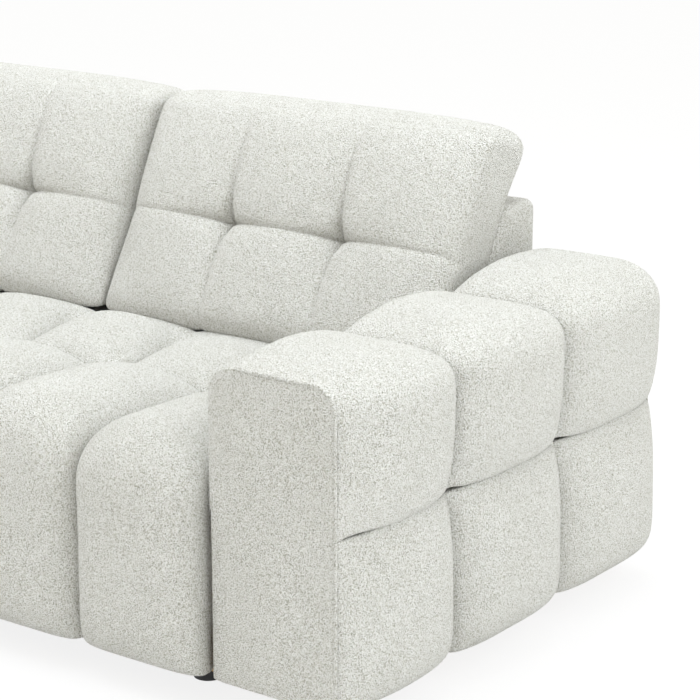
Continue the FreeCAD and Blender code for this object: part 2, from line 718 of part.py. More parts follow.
def make_right_arm():
    """The right arm: a box of boards and posts, its upholstery, and the bolts that hold it."""
    inner = "plan.arm_inner"
    base = "sizes.foot_height"
    near, far = "sizes.arm_end_pad", "plan.arm_depth - sizes.arm_end_pad"
    deep = f"{far} - {near}"
    board = "sizes.arm_board"
    rail_face = "plan.sofa_right - sizes.rail_inset"
    inner_face = f"{inner} + sizes.arm_inner_pad"
    tall = f"plan.arm_core_top - {base}"
    drill_length = f"{inner_face} + {board} - ({rail_face})"

    packing_front = "plan.sofa_front + sizes.seat_skirt + sizes.rail_thickness"
    packing = block("right_arm_packing", (rail_face, depth(packing_front), base),
                    (f"{inner_face} - ({rail_face})",
                     f"plan.seat_rear - sizes.rail_thickness - ({packing_front})", "sizes.rail_height"))
    inner_board = block("right_arm_inner_board", (inner_face, depth(near), base), (board, deep, tall))
    outer_board = block("right_arm_outer_board", (f"{inner} + plan.arm_board_outer", depth(near), base),
                        (board, deep, tall))
    boards = [
        cut("right_arm_packing_drilled", packing, bolt_holes("packing_holes", rail_face, drill_length)),
        cut("right_arm_inner_board_drilled", inner_board,
            bolt_holes("board_holes", rail_face, drill_length)),
        outer_board,
    ]
    node(group("right_arm_side_boards", boards), "right_arm_side_boards")

    between = f"{inner} + plan.arm_board_inner"
    wide = "plan.arm_board_outer - plan.arm_board_inner"
    feet_holes = group("right_arm_stud_holes", [
        stud_hole(f"right_arm_{end}", (f"{inner} + {ARM_MIDDLE}", depth(y))) for end, y in arm_feet()])
    lower = block("right_arm_bottom_board", (between, depth(near), base), (wide, deep, "sizes.arm_post"))
    upper = block("right_arm_top_board", (between, depth(near), "plan.arm_core_top - sizes.arm_post"),
                  (wide, deep, "sizes.arm_post"))
    node(group("right_arm_shelves", [cut("right_arm_bottom_drilled", lower, feet_holes), upper]),
         "right_arm_shelves")
    middle = "plan.arm_depth / 2 - sizes.arm_post / 2"
    posts = [block(f"right_arm_{name}_post", (between, depth(y), f"{base} + sizes.arm_post"),
                   (wide, "sizes.arm_post", f"{tall} - 2 * sizes.arm_post"))
             for name, y in (("front", near), ("middle", middle), ("rear", f"{far} - sizes.arm_post"))]
    node(group("right_arm_posts", posts), "right_arm_posts")

    seams = [number("arm_depth") - count * number("arm_column") for count in range(ARM_COLUMNS)]
    seams = [number("arm_end_pad")] + seams[::-1]
    soft("right_arm_upper_pad", channelled(arm_upper_section, seams, along))
    core_face = number("arm_inner") + number("arm_core_outer")
    flat_face = number("arm_inner") + number("arm_width")

    def lower_section(fullness):
        return skirt_section(fullness, core_face, flat_face, number("arm_seam_height"), "arm_crown")

    soft("right_arm_lower_pad", channelled(lower_section, seams, along))

    face = [(None, "skirt_height"), ("arm_width", "skirt_height"), ("arm_width", "arm_height"),
            (None, "arm_height")]
    front_pad = prism("right_arm_front_pad", "XZ_Plane", face, "sizes.arm_end_pad", (inner, depth("0"), "0"))
    half = number("arm_end_pad") / 2
    round_edge(front_pad, (0, half, number("arm_height")), "sizes.arm_inner_round")
    round_edge(front_pad, (number("arm_width"), half, number("arm_height")), "sizes.arm_outer_round")
    node(front_pad, "right_arm_front_pad")
    rear_face = [("arm_inner_pad", "skirt_height"), ("arm_core_outer", "skirt_height"),
                 ("arm_core_outer", "arm_core_top"), ("arm_inner_pad", "arm_core_top")]
    rear_pad = prism("right_arm_rear_pad", "XZ_Plane", rear_face, "sizes.arm_end_pad", (inner, depth(far), "0"))
    node(rear_pad, "right_arm_rear_pad")

    head_x = f"{rail_face} - sizes.rail_thickness - sizes.bolt_head"
    shank = f"sizes.bolt_head + sizes.rail_thickness + {drill_length} + sizes.nut_thickness"
    nut_x = f"{inner_face} + {board}"
    bolts = []
    nuts = []
    for index, (y, z) in enumerate(bolt_spots()):
        bolt = doc.addObject("Part::Fuse", f"right_arm_bolt_{index}")
        bolt.Base = rod(f"right_arm_shank_{index}", (head_x, y, z), "sizes.bolt_radius", shank, (1, 0, 0))
        bolt.Tool = rod(f"right_arm_head_{index}", (head_x, y, z), "sizes.bolt_head_radius",
                        "sizes.bolt_head", (1, 0, 0))
        bolts.append(bolt)
        nut = rod(f"right_arm_nut_body_{index}", (nut_x, y, z), "sizes.nut_radius", "sizes.nut_thickness",
                  (1, 0, 0))
        bore = rod(f"right_arm_nut_bore_{index}", (nut_x, y, z), "sizes.bolt_radius + sizes.bolt_play",
                   "sizes.nut_thickness", (1, 0, 0))
        nuts.append(cut(f"right_arm_nut_{index}", nut, bore))
    node(group("right_arm_bolts", bolts), "right_arm_bolts")
    node(group("right_arm_nuts", nuts), "right_arm_nuts")


def make_back(section):
    """A section's low back: ribs, rails and sheets under one padded cover that is open below."""
    left = f"plan.{section}_back_left"
    wide = f"plan.{section}_back_right - {left}"
    end = "sizes.back_end_pad"
    base = "sizes.foot_height"
    inside = f"{left} + {end}"
    inside_wide = f"{wide} - 2 * {end}"
    outline = [("back_foot", "back_foot_height"), ("back_top_front", "back_height"),
               ("arm_depth", "back_height"), ("arm_depth", "skirt_height"), ("back_foot", "skirt_height")]
    cavity = [("pad_foot", "back_foot_height"), ("pad_head", "back_pad_top"),
              ("rear_inner", "back_pad_top"), ("rear_inner", "cavity_low"),
              ("cavity_front", "cavity_low"), ("cavity_front", "back_foot_height")]
    outside = prism(f"{section}_back_outside", "YZ_Plane", outline, wide, (left, "plan.arm_front", "0"))
    half = (number(f"{section}_back_right") - number(f"{section}_back_left")) / 2
    for corner in ("back_top_front", "arm_depth"):
        round_edge(outside, (half, number(corner), number("back_height")), "sizes.back_round")
    hollow = prism(f"{section}_back_hollow", "YZ_Plane", cavity, inside_wide, (inside, "plan.arm_front", "0"))
    node(cut(f"{section}_back_cover", outside, hollow), f"{section}_back_cover")

    rib_outline = [("sheet_foot", "foot_height"), ("rear_sheet", "foot_height"), ("rear_sheet", "rib_top"),
                   ("rib_head", "rib_top"), ("sheet_foot", "back_foot_height")]
    ribs = []
    for index in range(BACK_RIBS[section]):
        share = index / (BACK_RIBS[section] - 1)
        x = f"{inside} + {share} * ({inside_wide} - sizes.back_rib)"
        ribs.append(prism(f"{section}_back_rib_{index}", "YZ_Plane", rib_outline, "sizes.back_rib",
                          (x, "plan.arm_front", "0")))
    node(group(f"{section}_back_ribs", ribs), f"{section}_back_ribs")

    sheet_outline = [("pad_foot", "back_foot_height"), ("sheet_foot", "back_foot_height"),
                     ("sheet_head", "back_pad_top"), ("pad_head", "back_pad_top")]
    front_sheet = prism(f"{section}_back_sheet", "YZ_Plane", sheet_outline, inside_wide,
                        (inside, "plan.arm_front", "0"))
    node(front_sheet, f"{section}_back_sheet")
    rear_sheet = block(f"{section}_rear_sheet", (inside, depth("plan.rear_sheet"), base),
                       (inside_wide, "sizes.back_sheet", f"plan.back_pad_top - {base}"))
    node(rear_sheet, f"{section}_rear_sheet")
    rails = [
        block(f"{section}_back_top_rail", (inside, depth("plan.sheet_head"), "plan.rib_top"),
              (inside_wide, "plan.rear_sheet - plan.sheet_head", "sizes.rail_thickness")),
        block(f"{section}_back_sill", (inside, depth("plan.seat_rear"), base),
              (inside_wide, "plan.sheet_foot - plan.seat_rear", "sizes.rail_height")),
    ]
    node(group(f"{section}_back_rails", rails), f"{section}_back_rails")


def make_seat_pad(section):
    """The channelled seat of a section, which runs over the front edge and down to the skirt."""
    front = number(f"{section}_front")
    left, right = number(f"{section}_left"), number(f"{section}_right")
    seams = even_seams(left, right, BAY_COLUMNS * SEAT_BAYS[section])

    def section_at(fullness):
        return seat_section(fullness, front, SEAT_ROWS[section])

    soft(f"{section}_seat_pad", channelled(section_at, seams, across))


def make_side_skirts():
    """The padded sides of the chaise where it stands out past the arm and past the other seat."""
    start = number("chaise_front") + number("seat_skirt")
    inset = number("rail_inset")
    clear = number("soft_clearance")
    top = number("seat_underside")
    rows = SEAT_ROWS["chaise"] - SEAT_ROWS["sofa"]
    skirts = []
    ends = {
        "left": (number("chaise_left"), inset, -clear),
        "right": (number("chaise_right"), -inset, number("sofa_front") - number("seat_front_crown") - clear),
    }
    for face, inward, end in ends.values():
        seams = even_seams(start, end, rows)

        def section_at(fullness):
            return skirt_section(fullness, face + inward, face, top, "side_skirt_crown")

        skirts.append(channelled(section_at, seams, along))
    soft("chaise_side_skirts", Part.makeCompound(skirts))


def make_connectors():
    """Hooks on the sofa section's rail, and catches on the chaise's rail that drop over them."""
    hook = [("hook_reach", "hook_low"), ("hook_reach", "hook_plate_top"), ("hook_back", "hook_plate_top"),
            ("hook_back", "hook_shelf"), ("tongue_far", "hook_shelf"), ("tongue_far", "tongue_top"),
            ("tongue_near", "tongue_top"), ("tongue_near", "hook_low")]
    catch = [(None, "catch_top"), ("catch_far", "catch_top"), ("catch_far", "catch_tip"),
             ("catch_near", "catch_tip"), ("catch_near", "catch_under"), ("hook_plate", "catch_under"),
             ("hook_plate", "catch_plate_low"), (None, "catch_plate_low")]
    x = "plan.chaise_right - sizes.rail_inset"
    spots = (depth("plan.sofa_front + sizes.seat_skirt + sizes.hook_inset"),
             depth("plan.seat_rear - sizes.hook_inset - sizes.hook_width"))
    for label, outline in (("connector_hooks", hook), ("connector_catches", catch)):
        pair = [prism(f"{label}_{index}", "XZ_Plane", outline, "sizes.hook_width", (x, y, "0"))
                for index, y in enumerate(spots)]
        node(group(label, pair), label)


def make_cushions():
    """Three loose back cushions, each a channelled cover round a core."""
    core_outline = [("core_rear_low", "core_low"), ("core_rear_high", "core_high"),
                    ("core_front_high", "core_high"), ("core_front_low", "core_low")]
    for index, name in enumerate(("left", "middle", "right")):
        left = f"{index} * plan.bay - plan.arm_inner + sizes.cushion_gap / 2"
        core_left = f"{left} + sizes.cushion_side_draw + sizes.cushion_wall"
        core = prism(f"{name}_cushion_core", "YZ_Plane", core_outline, "plan.core_width",
                     (core_left, "plan.arm_front", "0"))
        node(core, f"{name}_cushion_core")
        start = index * number("bay") - number("arm_inner") + number("cushion_gap") / 2
        soft(f"{name}_cushion_cover", cushion_shell(start, core.Shape))


make_right_arm()
rail_depth = "plan.sofa_right - sizes.rail_inset - sizes.rail_thickness"
right_holes = bolt_holes("right_rail_holes", rail_depth, "sizes.rail_thickness")
left_holes = doc.addObject("Part::Mirroring", "left_rail_holes")
left_holes.Source = right_holes
left_holes.Normal = FreeCAD.Vector(1, 0, 0)
for right_piece in list(nodes):
    mirrored(right_piece, right_piece.Label.replace("right", "left"))
for section, holes in (("sofa", right_holes), ("chaise", left_holes)):
    make_base(section, holes)
    make_springs(section)
    make_back(section)
    make_seat_pad(section)
make_side_skirts()
make_connectors()
make_cushions()
doc.recompute()

for item in doc.Objects:
    if "Invalid" in item.State or "Error" in item.State:
        raise RuntimeError(f"{item.Label} did not compute: {item.State}")
for item in nodes:
    if item.Shape.isNull() or not item.Shape.isValid() or not item.Shape.Solids:
        raise RuntimeError(f"{item.Label} has no valid solid")

os.makedirs("parts", exist_ok=True)
for item in nodes:
    item.Shape.exportStep(f"parts/{item.Label}.step")
    print(f"{item.Label}: {len(item.Shape.Solids)} solids, {item.Shape.Volume / 1000:.1f} cm3")
print(f"{len(nodes)} sub-parts")
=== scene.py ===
import bisect
import json
import math

import bmesh
import bpy
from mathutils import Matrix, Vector, noise


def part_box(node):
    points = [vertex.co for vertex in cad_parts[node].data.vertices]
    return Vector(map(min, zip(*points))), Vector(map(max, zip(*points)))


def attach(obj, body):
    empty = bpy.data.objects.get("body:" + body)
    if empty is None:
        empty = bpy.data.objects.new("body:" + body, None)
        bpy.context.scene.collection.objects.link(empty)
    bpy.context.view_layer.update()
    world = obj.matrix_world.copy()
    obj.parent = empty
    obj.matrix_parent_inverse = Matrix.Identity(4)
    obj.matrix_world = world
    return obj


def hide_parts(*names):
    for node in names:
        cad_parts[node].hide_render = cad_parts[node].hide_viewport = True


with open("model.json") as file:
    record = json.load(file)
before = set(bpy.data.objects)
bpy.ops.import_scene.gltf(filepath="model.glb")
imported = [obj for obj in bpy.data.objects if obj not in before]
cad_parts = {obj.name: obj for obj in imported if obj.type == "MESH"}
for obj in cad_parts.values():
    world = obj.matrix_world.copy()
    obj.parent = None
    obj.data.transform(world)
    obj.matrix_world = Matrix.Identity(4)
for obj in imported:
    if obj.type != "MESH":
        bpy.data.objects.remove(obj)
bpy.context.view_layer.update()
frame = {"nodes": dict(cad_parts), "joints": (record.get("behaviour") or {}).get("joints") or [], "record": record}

bl_info = {
    "name": "Corner sofa upholstery",
    "version": (1, 0, 0),
    "blender": (4, 5, 0),
    "location": "View3D > Sidebar > Sofa",
    "description": "Upholsters, finishes and lights a corner sofa around its packed frame",
    "category": "Object",
}

# What repeats.
SEAT_COLUMNS = {"sofa": 6, "chaise": 3}
SEAT_ROWS = {"sofa": 2, "chaise": 4}
ARM_COLUMNS = 3
CUSHION_COLUMNS = 3
CUSHIONS = ("left", "middle", "right")
ARM_BODIES = {"right_arm": "sofa_section", "left_arm": "chaise_section"}

# How the meshes are laid out: their pitch, and how much closer the lines are beside a seam.
GRID_PITCH = 0.011
PANEL_PITCH = 0.010
PANEL_SHARE_PITCH = 0.045
WELT_PITCH = 0.008
BACK_PITCH = 0.05
CUSHION_PITCH = 0.009
CUSHION_TOP_PITCH = 0.012
CUSHION_REAR_LINES = 12
SEAM_CLUSTER = 0.78
ARC_STEP = 0.004
MERGE_GAP = 1e-5

# The cloth runs: the cloth, their length, where a cover is held, and each pressure and longest move.
CLOTH = {"quality": 5, "mass": 0.3, "tension_stiffness": 12, "compression_stiffness": 12,
         "bending_stiffness": 2, "use_pressure": True, "vertex_group_mass": "held"}
PLUMP_FRAMES = 20
HELD_BELOW = 0.0015
SEAT_PLUMP = (2, 0.004)
ARM_UPPER_PLUMP = (2, 0.003)
ARM_LOWER_PLUMP = (2, 0.006)
CUSHION_PLUMP = (1, 0.004)

# What hand work leaves uneven: how close the waves in the padding are, and how high.
SEAT_WAVES = (9, 0.0025)
ARM_WAVES = (9, 0.002)
PANEL_WAVES = (7, 0.0015)
BACK_WAVES = (5, 0.0025)
CUSHION_WAVES = (8, 0.003)

# How much one channel's crown differs from the next, and where in the noise that is drawn.
SEAT_SPREAD = 0.12
SEAT_DRAW = (3.7, 2.3, 0.5)
ARM_SPREAD = 0.10
ARM_DRAW = (2.9, 0.3, 4.7)

# The seat: its hem and seams, where the cushions press on it, and the lip that they push up in front.
SEAT_HEM_RADIUS = 0.014
SEAT_STITCH = 0.004
FRONT_ROUND_SHARE = 0.5
PRESS_DEPTH = 0.002
CONTACT_INSET = 0.012
CONTACT_ROUND = 0.11
RAMP_AHEAD = 0.09
RAMP_RUN = 0.06
LIP_RISE = 0.026
LIP_AHEAD = 0.023
LIP_WIDTH = 0.013

# The chaise's side skirts: their padding, and how far their ends are tucked in behind what they meet.
SKIRT_DEPTH = 0.012
SKIRT_DROP = 0.003
SKIRT_HEM_RADIUS = 0.005
SKIRT_ROUND = 0.10
SKIRT_ARM_TUCK = 0.014
SKIRT_FRONT_TUCK = 0.012
SKIRT_SEAT_SHARE = 0.75

# The arms: how the channels meet the end panels, and how deep and how wide a panel's edges fall back.
PANEL_LAP = 0.006
FLUSH_SHIFT = 0.03
FLUSH_REACH = 0.08
REAR_CHANNEL_RISE = 0.008
ARM_HEM_RADIUS = 0.010
PANEL_RIM = (0.001, 0.012)
PANEL_FALL = (0.0015, 0.09)
PANEL_INNER_FALL = (0.008, 0.036)
PANEL_INNER_TOP = 0.5
PANEL_INNER_TAPER = 0.3
WELT_SET_BACK = 0.0025
WELT_TAPER_POINTS = 8

# The low backs: how far above the foot edges are rounded, and when a face counts as turned one way.
BACK_FOOT_MARGIN = 0.01
TURNED = 0.9

# The cushions: corners of the section, reach of the swell from each edge, and each seam's depth and reach.
CUSHION_FOOT_RADIUS = 0.012
CUSHION_HEAD_RADIUS = 0.045
CUSHION_REAR_RADIUS = 0.028
CUSHION_TOP_CROWN = 0.012
FOOT_MIDDLE_RISE = 0.06
HEAD_MIDDLE_DROP = 0.05
SIDE_REACH = 0.22
FOOT_REACH = 0.05
HEAD_REACH = 0.18
GROOVE_HEAD_FADE = 0.12
GROOVE_FOOT_FADE = 0.08
UPRIGHT_WIDTH = 0.10
LEVEL_WIDTH = 0.08
TUFT_PULL = 0.7
TUFT_FADE = 0.06
TUFT_PINCH = 0.3
PINCH_REACH = 0.022
UPRIGHT_STITCH = (0.0038, 0.006)
UPRIGHT_STITCH_FADE = 0.04
LEVEL_STITCH = (0.0024, 0.006)
SIDE_SEAM_INSET = 0.030
SIDE_STITCH = 0.002
FOOT_DRAW = 0.3
HEAD_DRAW_GAIN = 0.5
DRAW_RAMP = 4
REAR_DRAW_EASE = 0.3

# The fabric: its loops and curls in a metre, what each adds to its height, and how worn it is.
LOOPS_PER_METRE = 500
CURLS_PER_METRE = 440
LOOP_SHARE = 0.9
CURL_SHARE = 1.6
LOOP_HEIGHT = 0.0042
WEAR = 0.10

# The studio's light.
LAMP_COLOUR = (0.89, 0.945, 1)
FILL_COLOUR = (1, 0.985, 0.925, 1)
WHITE = (1, 1, 1, 1)
FLOOR_SHADE = (0.85, 0.85, 0.85, 1)
FLOOR_GLOW = 0.85


def number(label, text, default, **more):
    """A value that a user may change."""
    return bpy.props.FloatProperty(name=label, description=text, default=default, **more)


def size(label, text, default):
    """A length that a user may change."""
    return number(label, text, default, min=0, precision=4, unit="LENGTH")


def tint(label, text, default):
    """A colour that a user may change."""
    return bpy.props.FloatVectorProperty(name=label, description=text, default=default, size=3,
                                         min=0, max=1, subtype="COLOR")


class SofaSizes(bpy.types.PropertyGroup):
    """How the covers are padded, beyond what the frame gives."""

    seat_seam: size("Seat seams", "How far the seat's seams lie below the frame's seat", 0.072)
    seat_crown: size("Seat crown", "Rise of a seat channel above its seams", 0.085)
    seat_front_crown: size("Seat front crown", "Swell of a channel on the front of the seat", 0.034)
    seat_edge: size("Seat front edge", "Radius of the seat's front edge along a seam", 0.038)
    seat_pad: size("Seat padding", "Depth of the padding under the seat's seams", 0.042)
    seat_skirt: size("Seat skirt", "Thickness of the padding on the front of the seat", 0.045)
    hem_round: size("Hem round", "Reach of the rounding above a hem", 0.060)
    skirt_crown: size("Side skirt crown", "Swell of the chaise's side padding", 0.022)
    arm_crown: size("Arm crown", "Swell of an arm's channels on the outer side", 0.052)
    arm_top_crown: size("Arm top crown", "Rise of an arm's channels above its front panel", 0.020)
    arm_valley: size("Arm valleys", "Depth of an arm's valleys below its front panel", 0.028)
    arm_inner_crown: size("Arm inner crown", "Swell of an arm's channels on the inner side", 0.003)
    arm_shoulder: size("Arm shoulder", "How far an arm's top edges are rounded off at full swell", 0.012)
    arm_column: size("Arm channel", "Depth of an arm's channel, seam to seam", 0.317)
    arm_round: size("Arm channel round", "Reach of the rounding beside an arm's seams", 0.115)
    arm_inner_edge: size("Arm inner edge", "Radius of an arm's inner top edge", 0.050)
    arm_outer_edge: size("Arm outer edge", "Radius of an arm's outer top edge along a seam", 0.040)
    welt: size("Welt", "Radius of the welt round an arm's front", 0.0028)
    back_top: size("Back top", "Depth of the back's flat top", 0.100)
    back_edge: size("Back edge", "Radius of the back's edges", 0.018)
    back_shell: size("Back cover", "Thickness of the padded back cover", 0.010)
    cushion_rise: size("Cushion rise", "Height of a back cushion's front", 0.396)
    cushion_fall: size("Cushion fall", "How much lower a cushion's rear edge is", 0.030)
    cushion_foot: size("Cushion foot", "Depth of a cushion at the seat", 0.124)
    cushion_head: size("Cushion head", "Depth of a cushion at its top", 0.153)
    cushion_sag: size("Cushion sag", "How far a cushion's front sinks into the seat", 0.008)
    cushion_spill: size("Cushion spill", "How far a cushion's top spills back over the low back", 0.022)
    cushion_seam: size("Cushion seam", "Height of a cushion's level seam", 0.188)
    cushion_crown: size("Cushion crown", "Swell of a cushion's front", 0.034)
    cushion_side: size("Cushion side round", "Radius of a cushion's side edges", 0.045)
    cushion_groove: size("Cushion groove", "Depth of a cushion's sewn seams", 0.0025)
    cushion_tuft: size("Cushion tuft", "Depth of a sewn tuft", 0.046)


class SofaColours(bpy.types.PropertyGroup):
    """Colours of the fabric and of the frame's materials."""

    loop: tint("Fabric loops", "Colour of the fabric's raised loops", (0.97, 0.965, 0.935))
    # Painted shade: this dark, warm colour between the loops stands in for their shadows on one another.
    ground: tint("Fabric ground", "Colour between the fabric's loops", (0.52, 0.505, 0.42))
    pine: tint("Pine", "Colour of the planed rails and posts", (0.62, 0.43, 0.24))
    plywood: tint("Plywood", "Colour of the plywood boards", (0.66, 0.49, 0.30))
    hardboard: tint("Hardboard", "Colour of the back's pressed sheets", (0.26, 0.15, 0.08))
    foam: tint("Seat foam", "Colour of the seat's foam", (0.84, 0.76, 0.50))
    fibre: tint("Cushion filling", "Colour of a cushion's wrapped core", (0.86, 0.85, 0.80))
    felt: tint("Felt", "Colour of the felt over the springs", (0.30, 0.30, 0.31))
    dust_cloth: tint("Dust cloth", "Colour of the cloth under the base", (0.025, 0.025, 0.03))
    enamel: tint("Spring enamel", "Colour of the springs and their clips", (0.04, 0.04, 0.045))
    zinc: tint("Zinc", "Colour of bolts, nuts, hooks and catches", (0.62, 0.63, 0.64))
    foot: tint("Foot plastic", "Colour of the moulded feet", (0.018, 0.018, 0.02))
    floor: tint("Floor", "Colour of the studio floor", (0.90, 0.90, 0.90))


class SofaStage(bpy.types.PropertyGroup):
    """Where the camera stands and how the studio is lit."""

    camera_place: bpy.props.FloatVectorProperty(
        name="Camera place", description="Where the camera stands", default=(3.232, -2.605, 1.480),
        size=3, subtype="TRANSLATION", unit="LENGTH")
    camera_turn: number("Camera turn", "How far the camera stands round to the right of the front",
                        math.radians(36.24), subtype="ANGLE")
    camera_tip: number("Camera tip", "How far the camera looks down", math.radians(15.45), subtype="ANGLE")
    camera_lens: number("Lens", "Focal length on a 36 mm sensor", 118.1, unit="CAMERA")
    fill_strength: number("Fill", "Strength of the light from all round", 0.96, min=0)
    overhead_power: number("Overhead lamp", "Power of the soft lamp overhead", 128, min=0, unit="POWER")
    side_power: number("Side lamp", "Power of the soft lamp at the right", 78, min=0, unit="POWER")
    left_power: number("Left lamp", "Power of the soft lamp at the left", 8, min=0, unit="POWER")


class Shade:
    """A socket of a material's nodes in a Python expression: each operator adds its Math node."""

    def __init__(self, tree, socket=None):
        self.tree = tree
        self.socket = socket

    def node(self, kind, settings=(), inputs=(), output=0):
        """Add a node: its settings first, then the values or links of its input sockets."""
        item = self.tree.nodes.new(kind)
        for name, value in dict(settings).items():
            setattr(item, name, value)
        for name, value in dict(inputs).items():
            self.feed(item.inputs[name], value)
        return Shade(self.tree, item.outputs[output])

    def feed(self, socket, value):
        """Link a shade to an input socket, or set the socket's own value."""
        if isinstance(value, Shade):
            self.tree.links.new(value.socket, socket)
        else:
            socket.default_value = value

    def maths(self, operation, first, second):
        """Add a Math node on two values or shades."""
        return self.node("ShaderNodeMath", {"operation": operation}, {0: first, 1: second})

    def __add__(self, other):
        return self.maths("ADD", self, other)

    def __radd__(self, other):
        return self.maths("ADD", other, self)

    def __sub__(self, other):
        return self.maths("SUBTRACT", self, other)

    def __rsub__(self, other):
        return self.maths("SUBTRACT", other, self)

    def __mul__(self, other):
        return self.maths("MULTIPLY", self, other)

    def __rmul__(self, other):
        return self.maths("MULTIPLY", other, self)

    def mix(self, first, second):
        """Blend two colours, with this shade as the share of the second."""
        return self.node("ShaderNodeMix", {"data_type": "RGBA", "clamp_factor": True},
                         {0: self, 6: first, 7: second}, output=2)

    def between(self, low, high):
        """Stretch the values from low to high over 0 to 1, and hold them there."""
        return self.node("ShaderNodeMapRange", {"clamp": True},
                         {"Value": self, "From Min": low, "From Max": high})


def opaque(colour):
    """A property's colour as a shader's colour."""
    return (*colour, 1)


def tone(shade, shader, share, colour, factor):
    """Colour a material, with a darker or paler tone of its colour where share is high."""
    other = tuple(factor * channel for channel in colour)
    shade.feed(shader["Base Color"], share.mix(opaque(colour), opaque(other)))


def new_material(name, roughness, metallic=0, specular=0.5):
    """An empty material: itself, a shade to start expressions from, and its shader's sockets."""
    material = bpy.data.materials.new(name)
    material.use_nodes = True
    shader = material.node_tree.nodes["Principled BSDF"].inputs
    shader["Roughness"].default_value = roughness
    shader["Metallic"].default_value = metallic
    shader["Specular IOR Level"].default_value = specular
    return material, Shade(material.node_tree), shader


def object_places(shade, stretch=(1, 1, 1)):
    """Coordinates on a piece, in metres, stretched for a grain that runs along one axis."""
    places = shade.node("ShaderNodeTexCoord", output="Object")
    return shade.node("ShaderNodeMapping", (), {"Vector": places, "Scale": stretch})


def cloudy(shade, places, scale, detail=2, output="Fac"):
    """Soft noise over a piece."""
    return shade.node("ShaderNodeTexNoise", (),
                      {"Vector": places, "Scale": scale, "Detail": detail}, output)


def cellular(shade, places, scale, output="Distance"):
    """Random cells over a piece."""
    return shade.node("ShaderNodeTexVoronoi", {"feature": "F1"},
                      {"Vector": places, "Scale": scale}, output)


def bump(shade, shader, height, strength, distance):
    """Raise a surface by a height shade."""
    shade.feed(shader["Normal"], shade.node(
        "ShaderNodeBump", (), {"Strength": strength, "Distance": distance, "Height": height}))


def boucle(colours):
    """Ivory boucle: curled loops a few millimetres across, with painted shade between them."""
    material, shade, shader = new_material("ivory_boucle", 0.95, specular=0.1)
    places = object_places(shade)
    loops = cellular(shade, places, LOOPS_PER_METRE)
    curls = cloudy(shade, places, CURLS_PER_METRE)
    height = curls * CURL_SHARE - loops * loops * LOOP_SHARE
    raised = height.between(0.05, 0.75)
    # Painted shade: where the fabric is low between its loops, it takes the darker, warmer shade colour.
    fabric = raised.mix(opaque(colours.ground), opaque(colours.loop))
    worn = cloudy(shade, places, 7, 3).between(0.35, 0.75)
    shade.feed(shader["Base Color"], (worn * WEAR).mix(fabric, opaque(colours.ground)))
    shader["Sheen Weight"].default_value = 0.12
    shader["Sheen Roughness"].default_value = 0.6
    bump(shade, shader, height, 1, LOOP_HEIGHT)
    return material


def wood(name, colour, ring_scale, stretch):
    """Sawn timber or board: rings drawn out along the grain, with fine pores."""
    material, shade, shader = new_material(name, 0.62, specular=0.3)
    places = object_places(shade, stretch)
    rings = shade.node("ShaderNodeTexWave", {"wave_type": "RINGS", "rings_direction": "X"},
                       {"Vector": places, "Scale": ring_scale, "Distortion": 5, "Detail": 3})
    pores = cloudy(shade, places, 90, 4)
    tone(shade, shader, rings * 0.55 + pores * 0.35, colour, 0.62)
    shade.feed(shader["Roughness"], pores * 0.2 + 0.5)
    bump(shade, shader, pores, 0.25, 0.0008)
    return material


def fibrous(name, colour, scale, roughness, depth):
    """Felted, pressed or foamed stuff: fine random fibres or cells."""
    material, shade, shader = new_material(name, roughness, specular=0.2)
    places = object_places(shade)
    cells = cellular(shade, places, scale)
    clouds = cloudy(shade, places, scale / 6, 4)
    tone(shade, shader, cells * 0.5 + clouds * 0.4, colour, 0.6)
    bump(shade, shader, cells + clouds, 0.5, depth)
    return material


def enamel(colours):
    """Black enamel on spring wire, thinner and duller in places."""
    material, shade, shader = new_material("spring_enamel", 0.35)
    clouds = cloudy(shade, object_places(shade), 140, 3)
    tone(shade, shader, clouds * 0.6, colours.enamel, 2.2)
    shade.feed(shader["Roughness"], clouds * 0.35 + 0.25)
    return material


def zinc(colours):
    """Bright zinc plate with its faint crystal pattern."""
    material, shade, shader = new_material("zinc_plate", 0.35, metallic=1)
    crystals = cellular(shade, object_places(shade), 210, "Color")
    grey = shade.node("ShaderNodeRGBToBW", (), {"Color": crystals})
    tone(shade, shader, grey, colours.zinc, 1.15)
    shade.feed(shader["Roughness"], grey * 0.2 + 0.28)
    return material


def foot_plastic(colours):
    """Moulded plastic with a fine spark-eroded grain."""
    material, shade, shader = new_material("foot_plastic", 0.5, specular=0.4)
    places = object_places(shade)
    grain = cloudy(shade, places, 900, 2)
    scuffs = cloudy(shade, places, 40, 4).between(0.55, 0.8)
    tone(shade, shader, scuffs * 0.5, colours.foot, 3)
    shade.feed(shader["Roughness"], grain * 0.25 + 0.4)
    bump(shade, shader, grain, 0.3, 0.0004)
    return material


